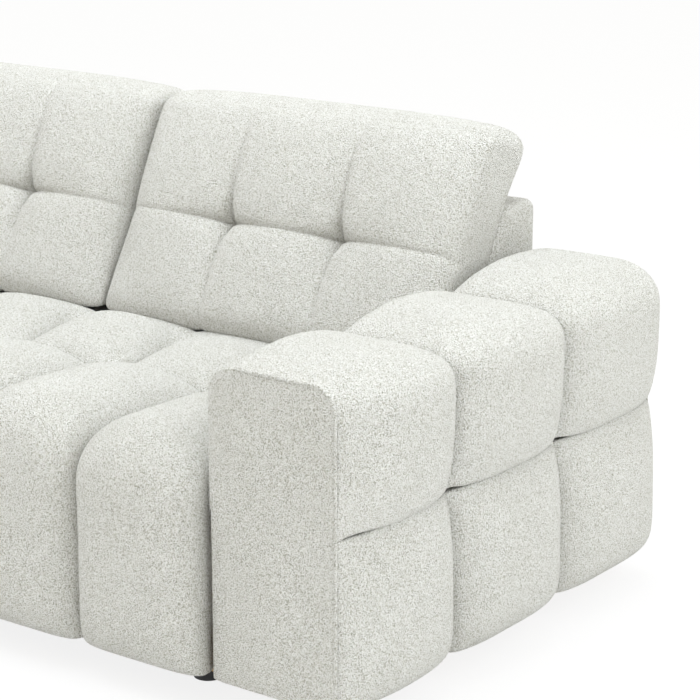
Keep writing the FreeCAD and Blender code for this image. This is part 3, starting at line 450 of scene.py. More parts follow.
class Profile:
    """A closed line through (a, b, radius) corners of a section, read by the distance along it."""

    def __init__(self, corners):
        self.points = []
        for index, (a, b, radius) in enumerate(corners):
            corner = Vector((a, b))
            if not radius:
                self.points.append(corner)
                continue
            back = (Vector(corners[index - 1][:2]) - corner).normalized()
            ahead = (Vector(corners[(index + 1) % len(corners)][:2]) - corner).normalized()
            half = back.angle(ahead) / 2
            centre = corner + (back + ahead).normalized() * (radius / math.sin(half))
            start = corner + back * (radius / math.tan(half)) - centre
            end = corner + ahead * (radius / math.tan(half)) - centre
            steps = max(2, round(start.angle(end) * radius / ARC_STEP))
            arms = [start.lerp(end, step / steps).normalized() for step in range(steps + 1)]
            self.points += [centre + arm * radius for arm in arms]
        self.points.append(self.points[0])
        pairs = list(zip(self.points, self.points[1:]))
        self.marks = [0]
        for start, end in pairs:
            self.marks.append(self.marks[-1] + (end - start).length)
        outward = 1 if sum(start.cross(end) for start, end in pairs) > 0 else -1
        sides = [outward * Vector((end.y - start.y, start.x - end.x)).normalized()
                 for start, end in pairs]
        around = [sides[-1]] + sides + [sides[0]]
        self.normals = [(before + after).normalized() for before, after in zip(around, around[1:])]
        # How far along the line each corner and its end are.
        self.corners = [self.near(a, b) for a, b, radius in corners] + [self.marks[-1]]

    def at(self, distance):
        """The point at a distance along the line, and the way out of the section there."""
        index = min(max(bisect.bisect_right(self.marks, distance) - 1, 0), len(self.marks) - 2)
        run = self.marks[index + 1] - self.marks[index]
        share = (distance - self.marks[index]) / run
        point = self.points[index].lerp(self.points[index + 1], share)
        normal = self.normals[index].lerp(self.normals[index + 1], share).normalized()
        return point, normal

    def near(self, a, b):
        """The distance along the line at which it passes nearest to a place."""
        place = Vector((a, b))
        best = None
        for index, (start, end) in enumerate(zip(self.points, self.points[1:])):
            run = end - start
            share = min(max((place - start).dot(run) / run.length_squared, 0), 1)
            gap = (start + run * share - place).length
            if best is None or gap < best[0]:
                best = (gap, self.marks[index] + share * run.length)
        return best[1]


def swelling(distance, reach):
    """How full a padded cover is beside its seam: 0 on the seam, 1 from reach on, as an ellipse."""
    share = min(max(distance / reach, 0), 1)
    return (1 - (1 - share) ** 2) ** 0.5


def between_seams(place, seams, reach):
    """How full a channel is at a place between its two seams."""
    channel = channel_of(place, seams)
    return swelling(place - seams[channel], reach) * swelling(seams[channel + 1] - place, reach)


def stitch(distance, depth=0.006, reach=0.009):
    """How far the thread of a seam draws a cover in close beside it."""
    return depth * math.exp(-(distance / reach) ** 2)


def nearest(place, seams):
    """The distance from a place to the nearest of some seams."""
    return min(abs(place - seam) for seam in seams)


def channel_of(place, seams):
    """The number of the channel that a place lies in."""
    return bisect.bisect_left(seams[1:-1], place)


def even_seams(start, end, count):
    """Seams at even steps from start to end, both ends included."""
    return [start + (end - start) * index / count for index in range(count + 1)]


def grid_lines(seams, pitch=GRID_PITCH):
    """Lines between seams, closer together beside each seam."""
    lines = [seams[0]]
    for start, end in zip(seams, seams[1:]):
        count = max(2, round((end - start) / pitch))
        for index in range(1, count + 1):
            share = index / count
            eased = share - SEAM_CLUSTER * math.sin(2 * math.pi * share) / (2 * math.pi)
            lines.append(start + (end - start) * eased)
    return lines


def unevenness(place, scale, height):
    """The small differences that hand work leaves in padding."""
    return height * noise.noise(Vector(place) * scale)


def spread(column, row, draw, share):
    """How full a channel is, as a share of the usual fullness."""
    return 1 + unevenness((column * draw[0], row * draw[1], draw[2]), 1, share)


def linked(name, mesh):
    """Put a mesh into the scene as a piece, shaded smooth."""
    mesh.shade_smooth()
    piece = bpy.data.objects.new(name, mesh)
    bpy.context.scene.collection.objects.link(piece)
    return piece


def finish_mesh(name, bm):
    """Make a piece of a bmesh, shaded smooth, with its faces turned outwards."""
    bmesh.ops.recalc_face_normals(bm, faces=bm.faces)
    mesh = bpy.data.meshes.new(name)
    bm.to_mesh(mesh)
    bm.free()
    return linked(name, mesh)


def laid_grid(bm, columns, rows):
    """Add a grid, and give each vertex with the column and the row that it stands on."""
    across = len(columns) - 1
    along = len(rows) - 1
    bmesh.ops.create_grid(bm, x_segments=across, y_segments=along, size=1)
    for vert in bm.verts:
        yield vert, columns[round((vert.co.x + 1) / 2 * across)], rows[round((vert.co.y + 1) / 2 * along)]


def close(bm):
    """Fill the open ends of a bmesh."""
    ends = bmesh.ops.holes_fill(bm, edges=[edge for edge in bm.edges if edge.is_boundary], sides=0)
    bmesh.ops.triangulate(bm, faces=ends["faces"])


def quilted(name, profile, lines, stations, swell, place):
    """A closed pad: a grid wrapped round a profile and run through stations, raised by swell."""
    bm = bmesh.new()
    held = bm.verts.layers.deform.verify()
    for vert, station, distance in laid_grid(bm, stations, lines):
        point, normal = profile.at(distance)
        rise = swell(station, distance, point, normal)
        vert[held][0] = 1 if rise < HELD_BELOW else 0
        vert.co = place(station, *(point + normal * rise))
    bmesh.ops.remove_doubles(bm, verts=bm.verts, dist=MERGE_GAP)
    close(bm)
    piece = finish_mesh(name, bm)
    piece.vertex_groups.new(name="held")
    return piece


def plump(piece, pressure, reach):
    """Let a cover settle round its filling: a short cloth run under pressure, held along its seams."""
    scene = bpy.context.scene
    cloth = piece.modifiers.new("plump", "CLOTH")
    for name, value in CLOTH.items():
        setattr(cloth.settings, name, value)
    cloth.settings.uniform_pressure_force = pressure
    cloth.settings.effector_weights.gravity = 0
    cloth.collision_settings.use_collision = False
    cloth.point_cache.frame_end = PLUMP_FRAMES
    for step in range(1, PLUMP_FRAMES + 1):
        scene.frame_set(step)
    settled = piece.evaluated_get(bpy.context.evaluated_depsgraph_get()).data.vertices
    moves = [after.co - before.co for before, after in zip(piece.data.vertices, settled)]
    piece.modifiers.remove(cloth)
    for vert, move in zip(piece.data.vertices, moves):
        if move.length > reach:
            move *= reach / move.length
        vert.co += move
    scene.frame_set(1)


def dress(piece, body, nodes, levels=1):
    """Give a cover its fabric and its body, and hide the frame's nodes that it stands for."""
    piece.data.materials.append(bpy.data.materials["ivory_boucle"])
    if levels:
        smoothing = piece.modifiers.new("smooth", "SUBSURF")
        smoothing.levels = levels
        smoothing.render_levels = levels
    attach(piece, body)
    if nodes:
        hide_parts(*nodes)


def seat_cover(section, sizes):
    """A section's seat: channels over the front edge and the top, pressed flat under the cushions."""
    low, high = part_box(f"{section}_seat_pad")
    cushion_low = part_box("middle_cushion_cover")[0]
    front = low.y + sizes.seat_front_crown
    rear = high.y
    flat = high.z - sizes.seat_seam
    inner = front + sizes.seat_skirt
    pressed = cushion_low.z - sizes.cushion_sag - flat - PRESS_DEPTH
    rows = even_seams(front, rear, SEAT_ROWS[section])
    columns = even_seams(low.x, high.x, SEAT_COLUMNS[section])
    half_row = (rows[1] - rows[0]) / 2
    half_column = (columns[1] - columns[0]) / 2
    profile = Profile([
        (inner, low.z, 0),
        (front, low.z, SEAT_HEM_RADIUS),
        (front, flat, sizes.seat_edge),
        (rear, flat, 0),
        (rear, flat - sizes.seat_pad, 0),
        (inner, flat - sizes.seat_pad, 0),
    ])
    hem = profile.corners[1]
    seams = [hem] + [profile.near(row, flat) for row in rows[1:]]
    contact = profile.near(cushion_low.y + CONTACT_INSET, flat)
    lines = [0] + grid_lines(seams) + profile.corners[4:]

    def swell(station, distance, point, normal):
        if distance < hem or distance > seams[-1]:
            return 0
        row = channel_of(distance, seams)
        on_top = max(normal.y, 0) ** 2
        full = swelling(distance - seams[row], half_row if row else sizes.hem_round)
        if row == len(seams) - 2:
            full *= swelling(contact - distance, CONTACT_ROUND)
        else:
            full *= swelling(seams[row + 1] - distance, half_row)
        round_share = FRONT_ROUND_SHARE + (1 - FRONT_ROUND_SHARE) * on_top
        full *= between_seams(station, columns, half_column * round_share)
        crown = sizes.seat_front_crown + (sizes.seat_crown - sizes.seat_front_crown) * on_top
        crown *= spread(channel_of(station, columns), row, SEAT_DRAW, SEAT_SPREAD)
        crown += unevenness((station, point.x, point.y), *SEAT_WAVES)
        under = pressed * min(max((distance - contact + RAMP_AHEAD) / RAMP_RUN, 0), 1)
        lip = LIP_RISE * math.exp(-((distance - contact + LIP_AHEAD) / LIP_WIDTH) ** 2)
        sewn = min(nearest(station, columns[1:-1]), nearest(distance, seams[1:-1]))
        return max(crown * full, under + lip) - stitch(sewn, SEAT_STITCH)

    piece = quilted(f"{section}_seat", profile, lines, grid_lines(columns), swell,
                    lambda x, y, z: Vector((x, y, z)))
    plump(piece, *SEAT_PLUMP)
    dress(piece, f"{section}_section", [f"{section}_seat_pad"])


def side_skirt(side, sizes):
    """The chaise's padded side where it stands out past the arm or past the other seat."""
    low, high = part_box("chaise_side_skirts")
    seat_low, seat_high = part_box("chaise_seat_pad")
    outward = -1 if side == "left" else 1
    face = seat_low.x if side == "left" else seat_high.x
    arm_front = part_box("left_arm_front_pad")[0].y
    seat_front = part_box("sofa_seat_pad")[0].y + SKIRT_SEAT_SHARE * sizes.seat_front_crown
    end = arm_front + SKIRT_ARM_TUCK if side == "left" else seat_front
    inner = face - outward * SKIRT_DEPTH
    foot = low.z - SKIRT_DROP
    profile = Profile([
        (inner, foot, 0),
        (face, foot, SKIRT_HEM_RADIUS),
        (face, high.z, 0),
        (inner, high.z, 0),
    ])
    hem, top = profile.corners[1:3]
    rows = even_seams(low.y - SKIRT_FRONT_TUCK, end, SEAT_ROWS["chaise"] - SEAT_ROWS["sofa"])
    lines = [0] + grid_lines([hem, top]) + profile.corners[3:]

    def swell(station, distance, point, normal):
        if distance < hem or distance > top:
            return 0
        full = swelling(distance - hem, sizes.hem_round) * swelling(top - distance, sizes.hem_round)
        return sizes.skirt_crown * full * between_seams(station, rows, SKIRT_ROUND)

    return quilted(f"chaise_{side}_skirt", profile, lines, grid_lines(rows), swell,
                   lambda y, x, z: Vector((x, y, z)))


def arm_seams(arm, sizes):
    """Where the seams between an arm's channels stand, from front to rear."""
    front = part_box(f"{arm}_front_pad")[0].y + PANEL_LAP
    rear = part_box(f"{arm}_rear_pad")[1].y - PANEL_LAP
    return [front] + [rear - sizes.arm_column * count for count in range(ARM_COLUMNS)][::-1]


def arm_frame(arm):
    """An arm's inner plane, the sign of its outward side and its width along the seams."""
    low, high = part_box(f"{arm}_front_pad")
    outward = 1 if high.x > 0 else -1
    inner = low.x if outward > 0 else high.x
    return inner, outward, high.x - low.x


def arm_fullness(station, seams, sizes):
    """How full an arm's side is along its depth: flush with the front panel, drawn in at other seams."""
    channel = channel_of(station, seams)
    after = swelling(seams[channel + 1] - station, sizes.arm_round)
    if channel > 0:
        return after * swelling(station - seams[channel], sizes.arm_round)
    half = (seams[1] - seams[0]) / 2
    return after * (1 - max(1 - (station - seams[0]) / half, 0) ** 2)


def front_flush(station, seams):
    """What keeps an arm's level seam shut where it ends at the front panel."""
    return FLUSH_SHIFT * (1 - swelling(station - seams[0], FLUSH_REACH))


def arm_upper(arm, sizes):
    """An arm's upper channels: down the outer side, over the top and down the inner side."""
    inner, outward, width = arm_frame(arm)
    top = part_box(f"{arm}_front_pad")[1].z
    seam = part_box(f"{arm}_lower_pad")[1].z
    board_low, board_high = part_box(f"{arm}_rear_pad")
    core_near, core_far = sorted((abs(board_low.x - inner), abs(board_high.x - inner)))
    core_top = board_high.z
    profile = Profile([
        (width, seam, 0),
        (width, top, sizes.arm_outer_edge),
        (0, top, sizes.arm_inner_edge),
        (0, seam, 0),
        (core_near, seam, 0),
        (core_near, core_top, 0),
        (core_far, core_top, 0),
        (core_far, seam, 0),
    ])
    last = profile.corners[3]
    lines = grid_lines([0, last]) + profile.corners[4:]
    seams = arm_seams(arm, sizes)

    def top_rise(station):
        """How far the top stands above the front panel: domed channels with deep valleys between them."""
        channel = channel_of(station, seams)
        crest = sizes.arm_top_crown + (REAR_CHANNEL_RISE if channel == ARM_COLUMNS - 1 else 0)
        half = (seams[channel + 1] - seams[channel]) / 2
        before = 1 - swelling(station - seams[channel], half)
        after = 1 - swelling(seams[channel + 1] - station, half)
        if channel == 0:
            before = max(1 - (station - seams[0]) / half, 0) ** 2
        drop_before = crest + (sizes.arm_valley if channel > 0 else 0)
        drop_after = crest + (sizes.arm_valley if channel < ARM_COLUMNS - 1 else 0)
        return crest - drop_before * before - drop_after * after

    def swell(station, distance, point, normal):
        if distance >= last:
            return 0
        on_top = max(normal.y, 0) ** 2
        full = arm_fullness(station, seams, sizes)
        full *= swelling(distance, sizes.arm_round) * swelling(last - distance, sizes.arm_round)
        side = sizes.arm_crown if normal.x > 0 else sizes.arm_inner_crown
        rise = side * full * (1 - on_top) + top_rise(station) * on_top
        rise -= sizes.arm_shoulder * full * 4 * on_top * (1 - on_top)
        rise += unevenness((station, point.x, point.y), *ARM_WAVES) * full
        level = distance + front_flush(station, seams)
        return rise - stitch(min(level, nearest(station, seams[1:-1])))

    piece = quilted(f"{arm}_upper", profile, lines, grid_lines(seams), swell,
                    lambda y, a, z: Vector((inner + outward * a, y, z)))
    plump(piece, *ARM_UPPER_PLUMP)
    dress(piece, ARM_BODIES[arm], [f"{arm}_upper_pad"])


def arm_lower(arm, sizes):
    """An arm's lower channels, on the outer side from the hem to the level seam."""
    inner, outward, width = arm_frame(arm)
    low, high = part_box(f"{arm}_lower_pad")
    core = min(abs(low.x - inner), abs(high.x - inner))
    profile = Profile([
        (core, low.z, 0),
        (width, low.z, ARM_HEM_RADIUS),
        (width, high.z, 0),
        (core, high.z, 0),
    ])
    hem, top = profile.corners[1:3]
    lines = [0] + grid_lines([hem, top]) + profile.corners[3:]
    seams = arm_seams(arm, sizes)

    def swell(station, distance, point, normal):
        if distance < hem or distance > top:
            return 0
        crown = sizes.arm_crown * spread(channel_of(station, seams), 1, ARM_DRAW, ARM_SPREAD)
        full = swelling(distance - hem, sizes.hem_round) * swelling(top - distance, sizes.arm_round)
        full *= arm_fullness(station, seams, sizes)
        rise = (crown + unevenness((station, point.x, point.y), *ARM_WAVES)) * full
        level = top - distance + front_flush(station, seams)
        return rise - stitch(min(level, nearest(station, seams[1:-1])))

    piece = quilted(f"{arm}_lower", profile, lines, grid_lines(seams), swell,
                    lambda y, a, z: Vector((inner + outward * a, y, z)))
    plump(piece, *ARM_LOWER_PLUMP)
    dress(piece, ARM_BODIES[arm], [f"{arm}_lower_pad"])


def arm_end_panel(arm, end, sizes):
    """The flat padded panel on an arm's front or rear, rounded at its top corners."""
    inner, outward, width = arm_frame(arm)
    low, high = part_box(f"{arm}_front_pad")
    pad_low, pad_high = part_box(f"{arm}_{end}_pad")
    ahead = -1 if end == "front" else 1
    face = pad_low.y if end == "front" else pad_high.y
    depth = pad_high.y - pad_low.y
    heights = grid_lines([low.z, high.z], PANEL_PITCH)
    shares = grid_lines([0, 1], PANEL_SHARE_PITCH)

    def drawn_in(z, radius):
        """How far a rounded top corner has drawn the outline in at a height."""
        over = max(z - (high.z - radius), 0)
        return radius - math.sqrt(max(radius ** 2 - over ** 2, 0))

    def fall(distance, depth, reach):
        """How far the panel falls back at a distance from its edge."""
        return depth * (1 - swelling(distance, reach))

    bm = bmesh.new()
    for vert, share, z in laid_grid(bm, shares, heights):
        near_edge = drawn_in(z, sizes.arm_inner_edge)
        far_edge = width - drawn_in(z, sizes.arm_outer_edge)
        a = near_edge + (far_edge - near_edge) * share
        edge = min(a - near_edge, far_edge - a, z - low.z, high.z - z)
        from_inner = math.hypot(a - near_edge, PANEL_INNER_TAPER * max(z - PANEL_INNER_TOP, 0))
        sunk = fall(edge, *PANEL_RIM) + fall(edge, *PANEL_FALL) + fall(from_inner, *PANEL_INNER_FALL)
        sunk += unevenness((a, z, 0), *PANEL_WAVES) * swelling(edge, PANEL_FALL[1])
        vert.co = (inner + outward * a, face - ahead * sunk, z)
    rim = bmesh.ops.extrude_edge_only(bm, edges=[edge for edge in bm.edges if edge.is_boundary])
    for vert in (item for item in rim["geom"] if isinstance(item, bmesh.types.BMVert)):
        vert.co.y = face - ahead * depth
    close(bm)
    piece = finish_mesh(f"{arm}_{end}", bm)
    dress(piece, ARM_BODIES[arm], [f"{arm}_{end}_pad"])


def arm_welt(arm, sizes):
    """The sewn welt round the outer and top edges of an arm's front."""
    inner, outward, width = arm_frame(arm)
    low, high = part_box(f"{arm}_front_pad")
    profile = Profile([
        (width, low.z, 0),
        (width, high.z, sizes.arm_outer_edge),
        (0, high.z, sizes.arm_inner_edge),
        (0, low.z, 0),
    ])
    finish = profile.near(sizes.arm_inner_edge, high.z)
    count = round(finish / WELT_PITCH)
    curve = bpy.data.curves.new(f"{arm}_welt_path", "CURVE")
    curve.dimensions = "3D"
    curve.bevel_depth = sizes.welt
    curve.bevel_resolution = 3
    curve.use_fill_caps = True
    spline = curve.splines.new("POLY")
    spline.points.add(count)
    for index, spot in enumerate(spline.points):
        a, z = profile.at(finish * index / count)[0]
        spot.co = (inner + outward * a, low.y + WELT_SET_BACK, z, 1)
        spot.radius = swelling(count - index, WELT_TAPER_POINTS)
    holder = bpy.data.objects.new(f"{arm}_welt_path", curve)
    mesh = bpy.data.meshes.new_from_object(holder)
    bpy.data.objects.remove(holder)
    mesh.name = f"{arm}_welt"
    piece = linked(f"{arm}_welt", mesh)
    piece.data.materials.append(bpy.data.materials["ivory_boucle"])
    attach(piece, ARM_BODIES[arm])


def back_cover(section, sizes):
    """A section's low back: a padded shell, sloped in front, open below over its ribs."""
    low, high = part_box(f"{section}_back_cover")
    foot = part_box(f"{section}_back_sheet")[0].z
    bm = bmesh.new()
    outline = [(low.y, low.z), (low.y, foot), (high.y - sizes.back_top, high.z), (high.y, high.z),
               (high.y, low.z)]
    face = bm.faces.new([bm.verts.new((low.x, y, z)) for y, z in outline])
    side = bmesh.ops.extrude_face_region(bm, geom=[face], use_keep_orig=True)
    moved = [item for item in side["geom"] if isinstance(item, bmesh.types.BMVert)]
    bmesh.ops.translate(bm, verts=moved, vec=(high.x - low.x, 0, 0))
    bmesh.ops.recalc_face_normals(bm, faces=bm.faces)
    clear = foot + BACK_FOOT_MARGIN
    rounded = [edge for edge in bm.edges
               if min(vert.co.z for vert in edge.verts) > clear or
               (max(vert.co.z for vert in edge.verts) > clear and
                abs(edge.verts[0].co.x - edge.verts[1].co.x) < MERGE_GAP)]
    bmesh.ops.bevel(bm, geom=rounded, offset=sizes.back_edge, offset_type="OFFSET", affect="EDGES",
                    segments=5, profile=0.5, material=-1)
    hidden = [face for face in bm.faces if face.normal.z < -TURNED or
              (face.normal.y < -TURNED and face.calc_center_median().z < foot)]
    bmesh.ops.delete(bm, geom=hidden, context="FACES")
    for axis in range(3):
        start, end = low[axis], high[axis]
        normal = Vector((0, 0, 0))
        normal[axis] = 1
        for place in even_seams(start, end, round((end - start) / BACK_PITCH))[1:-1]:
            bmesh.ops.bisect_plane(bm, geom=bm.verts[:] + bm.edges[:] + bm.faces[:], dist=MERGE_GAP,
                                   plane_co=normal * place, plane_no=normal)
    bm.normal_update()
    for vert in bm.verts:
        if not vert.is_boundary:
            vert.co += vert.normal * unevenness(vert.co, *BACK_WAVES)
    piece = finish_mesh(f"{section}_back", bm)
    shell = piece.modifiers.new("padding", "SOLIDIFY")
    shell.thickness = sizes.back_shell
    shell.offset = -1
    dress(piece, f"{section}_section", [f"{section}_back_cover"], levels=0)


def cushion(name, sizes):
    """A loose back cushion: three channels and a level seam with sewn tufts where they cross."""
    low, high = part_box(f"{name}_cushion_cover")
    joint = next(item for item in frame["joints"] if item["name"] == f"{name}_cushion_draw")
    lean = joint["axis"][1] / joint["axis"][2]
    rear_rise = sizes.cushion_rise - sizes.cushion_fall
    rear = high.y - lean * (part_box(f"{name}_cushion_core")[1].z - low.z)
    head = rear + lean * sizes.cushion_rise - sizes.cushion_head
    rear_edge = rear + lean * rear_rise + sizes.cushion_spill
    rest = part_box("sofa_back_cover")[1].z - low.z
    profile = Profile([
        (rear, low.z, 0),
        (rear - sizes.cushion_foot, low.z - sizes.cushion_sag, CUSHION_FOOT_RADIUS),
        (head, low.z + sizes.cushion_rise, CUSHION_HEAD_RADIUS),
        (rear_edge, low.z + rear_rise, CUSHION_REAR_RADIUS),
        (rear + lean * rest, low.z + rest, 0),
    ])
    start, end, rear_top = profile.corners[1:4]
    level = start + (end - start) * sizes.cushion_seam / sizes.cushion_rise
    columns = even_seams(low.x, high.x, CUSHION_COLUMNS)
    across_lean = Vector((1, -lean)).normalized()
    foot_middle = Vector((rear - sizes.cushion_foot / 2, low.z + FOOT_MIDDLE_RISE))
    head_middle = Vector(((head + rear_edge) / 2, low.z + rear_rise - HEAD_MIDDLE_DROP))

    def groove(station, distance):
        """How deep the seams and tufts draw the front in."""
        across = nearest(station, columns[1:-1])
        along = abs(distance - level)
        fade = swelling(end - distance, GROOVE_HEAD_FADE) * swelling(distance - start, GROOVE_FOOT_FADE)
        pull = TUFT_PULL * sizes.cushion_tuft
        upright = sizes.cushion_groove * fade + pull * math.exp(-along / TUFT_FADE)
        upright *= 1 - swelling(across, UPRIGHT_WIDTH)
        sideways = sizes.cushion_groove + pull * math.exp(-across / TUFT_FADE)
        sideways *= 1 - swelling(along, LEVEL_WIDTH)
        pinch = stitch(math.hypot(across, along), TUFT_PINCH * sizes.cushion_tuft, PINCH_REACH)
        return max(upright, sideways) + pinch

    def swell(station, distance, point, normal):
        side = min(station - low.x, high.x - station)
        if distance < start or distance > rear_top:
            return 0
        full = swelling(side, SIDE_REACH)
        if distance > end:
            share = (distance - end) / (rear_top - end)
            return CUSHION_TOP_CROWN * full * math.sin(math.pi * share)
        dome = swelling(distance - start, FOOT_REACH) * swelling(end - distance, HEAD_REACH)
        rise = sizes.cushion_crown * full * dome - groove(station, distance)
        upright = stitch(nearest(station, columns[1:-1]), *UPRIGHT_STITCH)
        rise -= upright * swelling(end - distance, UPRIGHT_STITCH_FADE)
        rise -= stitch(distance - level, *LEVEL_STITCH) + stitch(side - SIDE_SEAM_INSET, SIDE_STITCH)
        return rise + unevenness((station, point.x, point.y), *CUSHION_WAVES) * full * dome

    def place(station, y, z):
        """Where a spot of the section goes: drawn in towards the middle at the cushion's sides."""
        inset = max(sizes.cushion_side - min(station - low.x, high.x - station), 0)
        draw = sizes.cushion_side - math.sqrt(max(sizes.cushion_side ** 2 - inset ** 2, 0))
        spot = Vector((y, z))
        run = head_middle - foot_middle
        share = min(max((spot - foot_middle).dot(run) / run.length_squared, 0), 1)
        middle = foot_middle + run * share
        inward = (middle - spot).normalized()
        facing_rear = max(-inward.dot(across_lean), 0)
        draw *= FOOT_DRAW + HEAD_DRAW_GAIN * min(DRAW_RAMP * share, 1)
        spot += inward * draw * (1 - REAR_DRAW_EASE * facing_rear ** 2)
        return Vector((station, *spot))

    lines = [0, start / 2] + grid_lines([start, level, end], CUSHION_PITCH)
    lines += grid_lines([end, rear_top], CUSHION_TOP_PITCH)[1:]
    lines += even_seams(rear_top, profile.marks[-1], CUSHION_REAR_LINES)[1:]
    stations = grid_lines(columns, CUSHION_PITCH)
    piece = quilted(f"{name}_cushion", profile, lines, stations, swell, place)
    plump(piece, *CUSHION_PLUMP)
    dress(piece, f"{name}_cushion", [f"{name}_cushion_cover"])


class SOFA_OT_finishes(bpy.types.Operator):
    """Make the fabric and give every piece of the frame its material"""

    bl_idname = "sofa.finishes"
    bl_label = "Finishes"

    def execute(self, context):
        colours = context.scene.sofa_colours
        slots = {
            "boucle": boucle(colours),
            "seat_foam": fibrous("seat_foam", colours.foam, 420, 0.9, 0.0012),
            "cushion_foam": fibrous("cushion_foam", colours.fibre, 260, 0.95, 0.002),
            "felt": fibrous("felt", colours.felt, 700, 0.95, 0.001),
            "dust_cloth": fibrous("dust_cloth", colours.dust_cloth, 900, 0.9, 0.0006),
            "timber": wood("pine", colours.pine, 14, (1, 4, 4)),
            "plywood": wood("plywood", colours.plywood, 9, (4, 1, 2)),
            "hardboard": fibrous("hardboard", colours.hardboard, 520, 0.7, 0.0005),
            "spring_steel": enamel(colours),
            "zinc_steel": zinc(colours),
            "foot_plastic": foot_plastic(colours),
        }
        for row in frame["record"]["subparts"]:
            mesh = frame["nodes"][row["node"]].data
            mesh.materials.clear()
            mesh.materials.append(slots[row["material_slot"]])
        return {"FINISHED"}


class SOFA_OT_seats(bpy.types.Operator):
    """Upholster both seats, which run over the front edge down to the hem"""

    bl_idname = "sofa.seats"
    bl_label = "Seats"

    def execute(self, context):
        for section in SEAT_ROWS:
            seat_cover(section, context.scene.sofa_sizes)
        return {"FINISHED"}


class SOFA_OT_side_skirts(bpy.types.Operator):
    """Pad the sides of the chaise where it stands out past the arm and the other seat"""

    bl_idname = "sofa.side_skirts"
    bl_label = "Chaise sides"

    def execute(self, context):
        skirts = [side_skirt(side, context.scene.sofa_sizes) for side in ("left", "right")]
        dress(skirts[0], "chaise_section", ["chaise_side_skirts"])
        dress(skirts[1], "chaise_section", [])
        return {"FINISHED"}


class SOFA_OT_arms(bpy.types.Operator):
    """Upholster both arms: upper and lower channels, end panels and the welt on the front"""

    bl_idname = "sofa.arms"
    bl_label = "Arms"

    def execute(self, context):
        sizes = context.scene.sofa_sizes
        for arm in ARM_BODIES:
            arm_upper(arm, sizes)
            arm_lower(arm, sizes)
            arm_end_panel(arm, "front", sizes)
            arm_end_panel(arm, "rear", sizes)
            arm_welt(arm, sizes)
        return {"FINISHED"}


class SOFA_OT_backs(bpy.types.Operator):
    """Cover the low back of each section"""

    bl_idname = "sofa.backs"
    bl_label = "Backs"

    def execute(self, context):
        for section in SEAT_ROWS:
            back_cover(section, context.scene.sofa_sizes)
        return {"FINISHED"}


class SOFA_OT_cushions(bpy.types.Operator):
    """Stuff the three loose back cushions"""

    bl_idname = "sofa.cushions"
    bl_label = "Cushions"

    def execute(self, context):
        for name in CUSHIONS:
            cushion(name, context.scene.sofa_sizes)
        return {"FINISHED"}


def backdrop_rays(shade):
    """1 where the background is seen straight on, in a reflection or through glass."""
    rays = shade.node("ShaderNodeLightPath", output="Is Camera Ray")
    path = rays.socket.node
    glossy = Shade(shade.tree, path.outputs["Is Glossy Ray"])
    through = Shade(shade.tree, path.outputs["Is Transmission Ray"])
    return (rays + glossy + through).between(0, 1)


def soft_lamp(name, place, target, width, depth, power):
    """A large soft lamp, a little cooler than the light around, that points at a spot."""
    lamp = bpy.data.lights.new(name, "AREA")
    lamp.color = LAMP_COLOUR
    lamp.shape = "RECTANGLE"
    lamp.size = width
    lamp.size_y = depth
    lamp.energy = power
    holder = bpy.data.objects.new(name, lamp)
    holder.location = place
    holder.rotation_euler = (Vector(target) - Vector(place)).to_track_quat("-Z", "Y").to_euler()
    bpy.context.scene.collection.objects.link(holder)


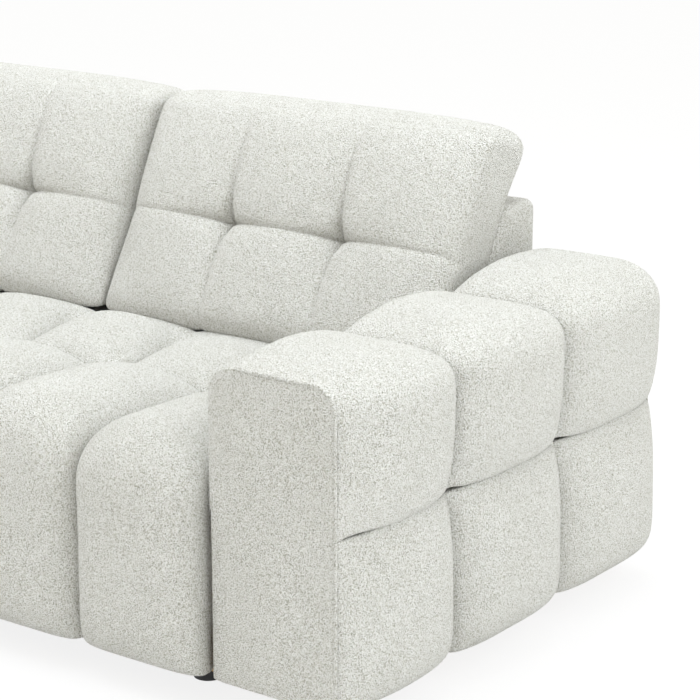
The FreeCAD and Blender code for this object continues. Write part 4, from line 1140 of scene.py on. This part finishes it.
class SOFA_OT_stage(bpy.types.Operator):
    """Lay the floor, hang the soft lamps and set up the camera"""

    bl_idname = "sofa.stage"
    bl_label = "Stage"

    def execute(self, context):
        scene = context.scene
        stage = scene.sofa_stage
        scene.view_settings.view_transform = "Standard"

        world = bpy.data.worlds.new("studio")
        world.use_nodes = True
        scene.world = world
        shade = Shade(world.node_tree)
        seen = backdrop_rays(shade)
        light = world.node_tree.nodes["Background"].inputs
        shade.feed(light["Color"], seen.mix(FILL_COLOUR, WHITE))
        shade.feed(light["Strength"], seen * (1 - stage.fill_strength) + stage.fill_strength)

        bm = bmesh.new()
        bmesh.ops.create_grid(bm, x_segments=8, y_segments=8, size=20)
        floor = finish_mesh("floor", bm)
        material, shade, shader = new_material("studio_floor", 0.9, specular=0.1)
        clouds = cloudy(shade, object_places(shade), 3)
        pale = opaque(scene.sofa_colours.floor)
        shade.feed(shader["Base Color"], (clouds * 0.05).mix(pale, FLOOR_SHADE))
        glow = shade.node("ShaderNodeEmission", (), {"Color": WHITE, "Strength": 1})
        lit = Shade(shade.tree, material.node_tree.nodes["Principled BSDF"].outputs[0])
        blend = shade.node("ShaderNodeMixShader", (),
                           {0: backdrop_rays(shade) * FLOOR_GLOW, 1: lit, 2: glow})
        shade.feed(material.node_tree.nodes["Material Output"].inputs["Surface"], blend)
        floor.data.materials.append(material)

        soft_lamp("overhead", place=(0.3, -0.1, 4.0), target=(0.1, 0, 0.3), width=3.6, depth=2.6,
                  power=stage.overhead_power)
        soft_lamp("side", place=(4.5, 0.6, 2.6), target=(0.8, 0, 0.4), width=3, depth=3,
                  power=stage.side_power)
        soft_lamp("left", place=(-3.6, -2.0, 2.4), target=(0.3, 0, 0.4), width=2.5, depth=2.5,
                  power=stage.left_power)

        camera = bpy.data.cameras.new("camera")
        camera.lens = stage.camera_lens
        camera.sensor_width = 36
        camera.clip_end = 100
        holder = bpy.data.objects.new("camera", camera)
        holder.location = stage.camera_place
        holder.rotation_euler = (math.pi / 2 - stage.camera_tip, 0, stage.camera_turn)
        scene.collection.objects.link(holder)
        scene.camera = holder
        return {"FINISHED"}


STEPS = (SOFA_OT_finishes, SOFA_OT_seats, SOFA_OT_side_skirts, SOFA_OT_arms, SOFA_OT_backs,
         SOFA_OT_cushions, SOFA_OT_stage)


class VIEW3D_PT_sofa(bpy.types.Panel):
    """The sofa's steps and the values that they use"""

    bl_label = "Corner sofa"
    bl_space_type = "VIEW_3D"
    bl_region_type = "UI"
    bl_category = "Sofa"

    def draw(self, context):
        for step in STEPS:
            self.layout.operator(step.bl_idname)
        for group in (context.scene.sofa_sizes, context.scene.sofa_colours, context.scene.sofa_stage):
            for name in group.__annotations__:
                self.layout.prop(group, name)


CLASSES = (SofaSizes, SofaColours, SofaStage, *STEPS, VIEW3D_PT_sofa)


def register():
    for item in CLASSES:
        bpy.utils.register_class(item)
    bpy.types.Scene.sofa_sizes = bpy.props.PointerProperty(type=SofaSizes)
    bpy.types.Scene.sofa_colours = bpy.props.PointerProperty(type=SofaColours)
    bpy.types.Scene.sofa_stage = bpy.props.PointerProperty(type=SofaStage)


def unregister():
    del bpy.types.Scene.sofa_stage
    del bpy.types.Scene.sofa_colours
    del bpy.types.Scene.sofa_sizes
    for item in reversed(CLASSES):
        bpy.utils.unregister_class(item)


def main():
    register()
    bpy.ops.sofa.finishes()
    bpy.ops.sofa.seats()
    bpy.ops.sofa.side_skirts()
    bpy.ops.sofa.arms()
    bpy.ops.sofa.backs()
    bpy.ops.sofa.cushions()
    bpy.ops.sofa.stage()


if __name__ == "__main__":
    main()
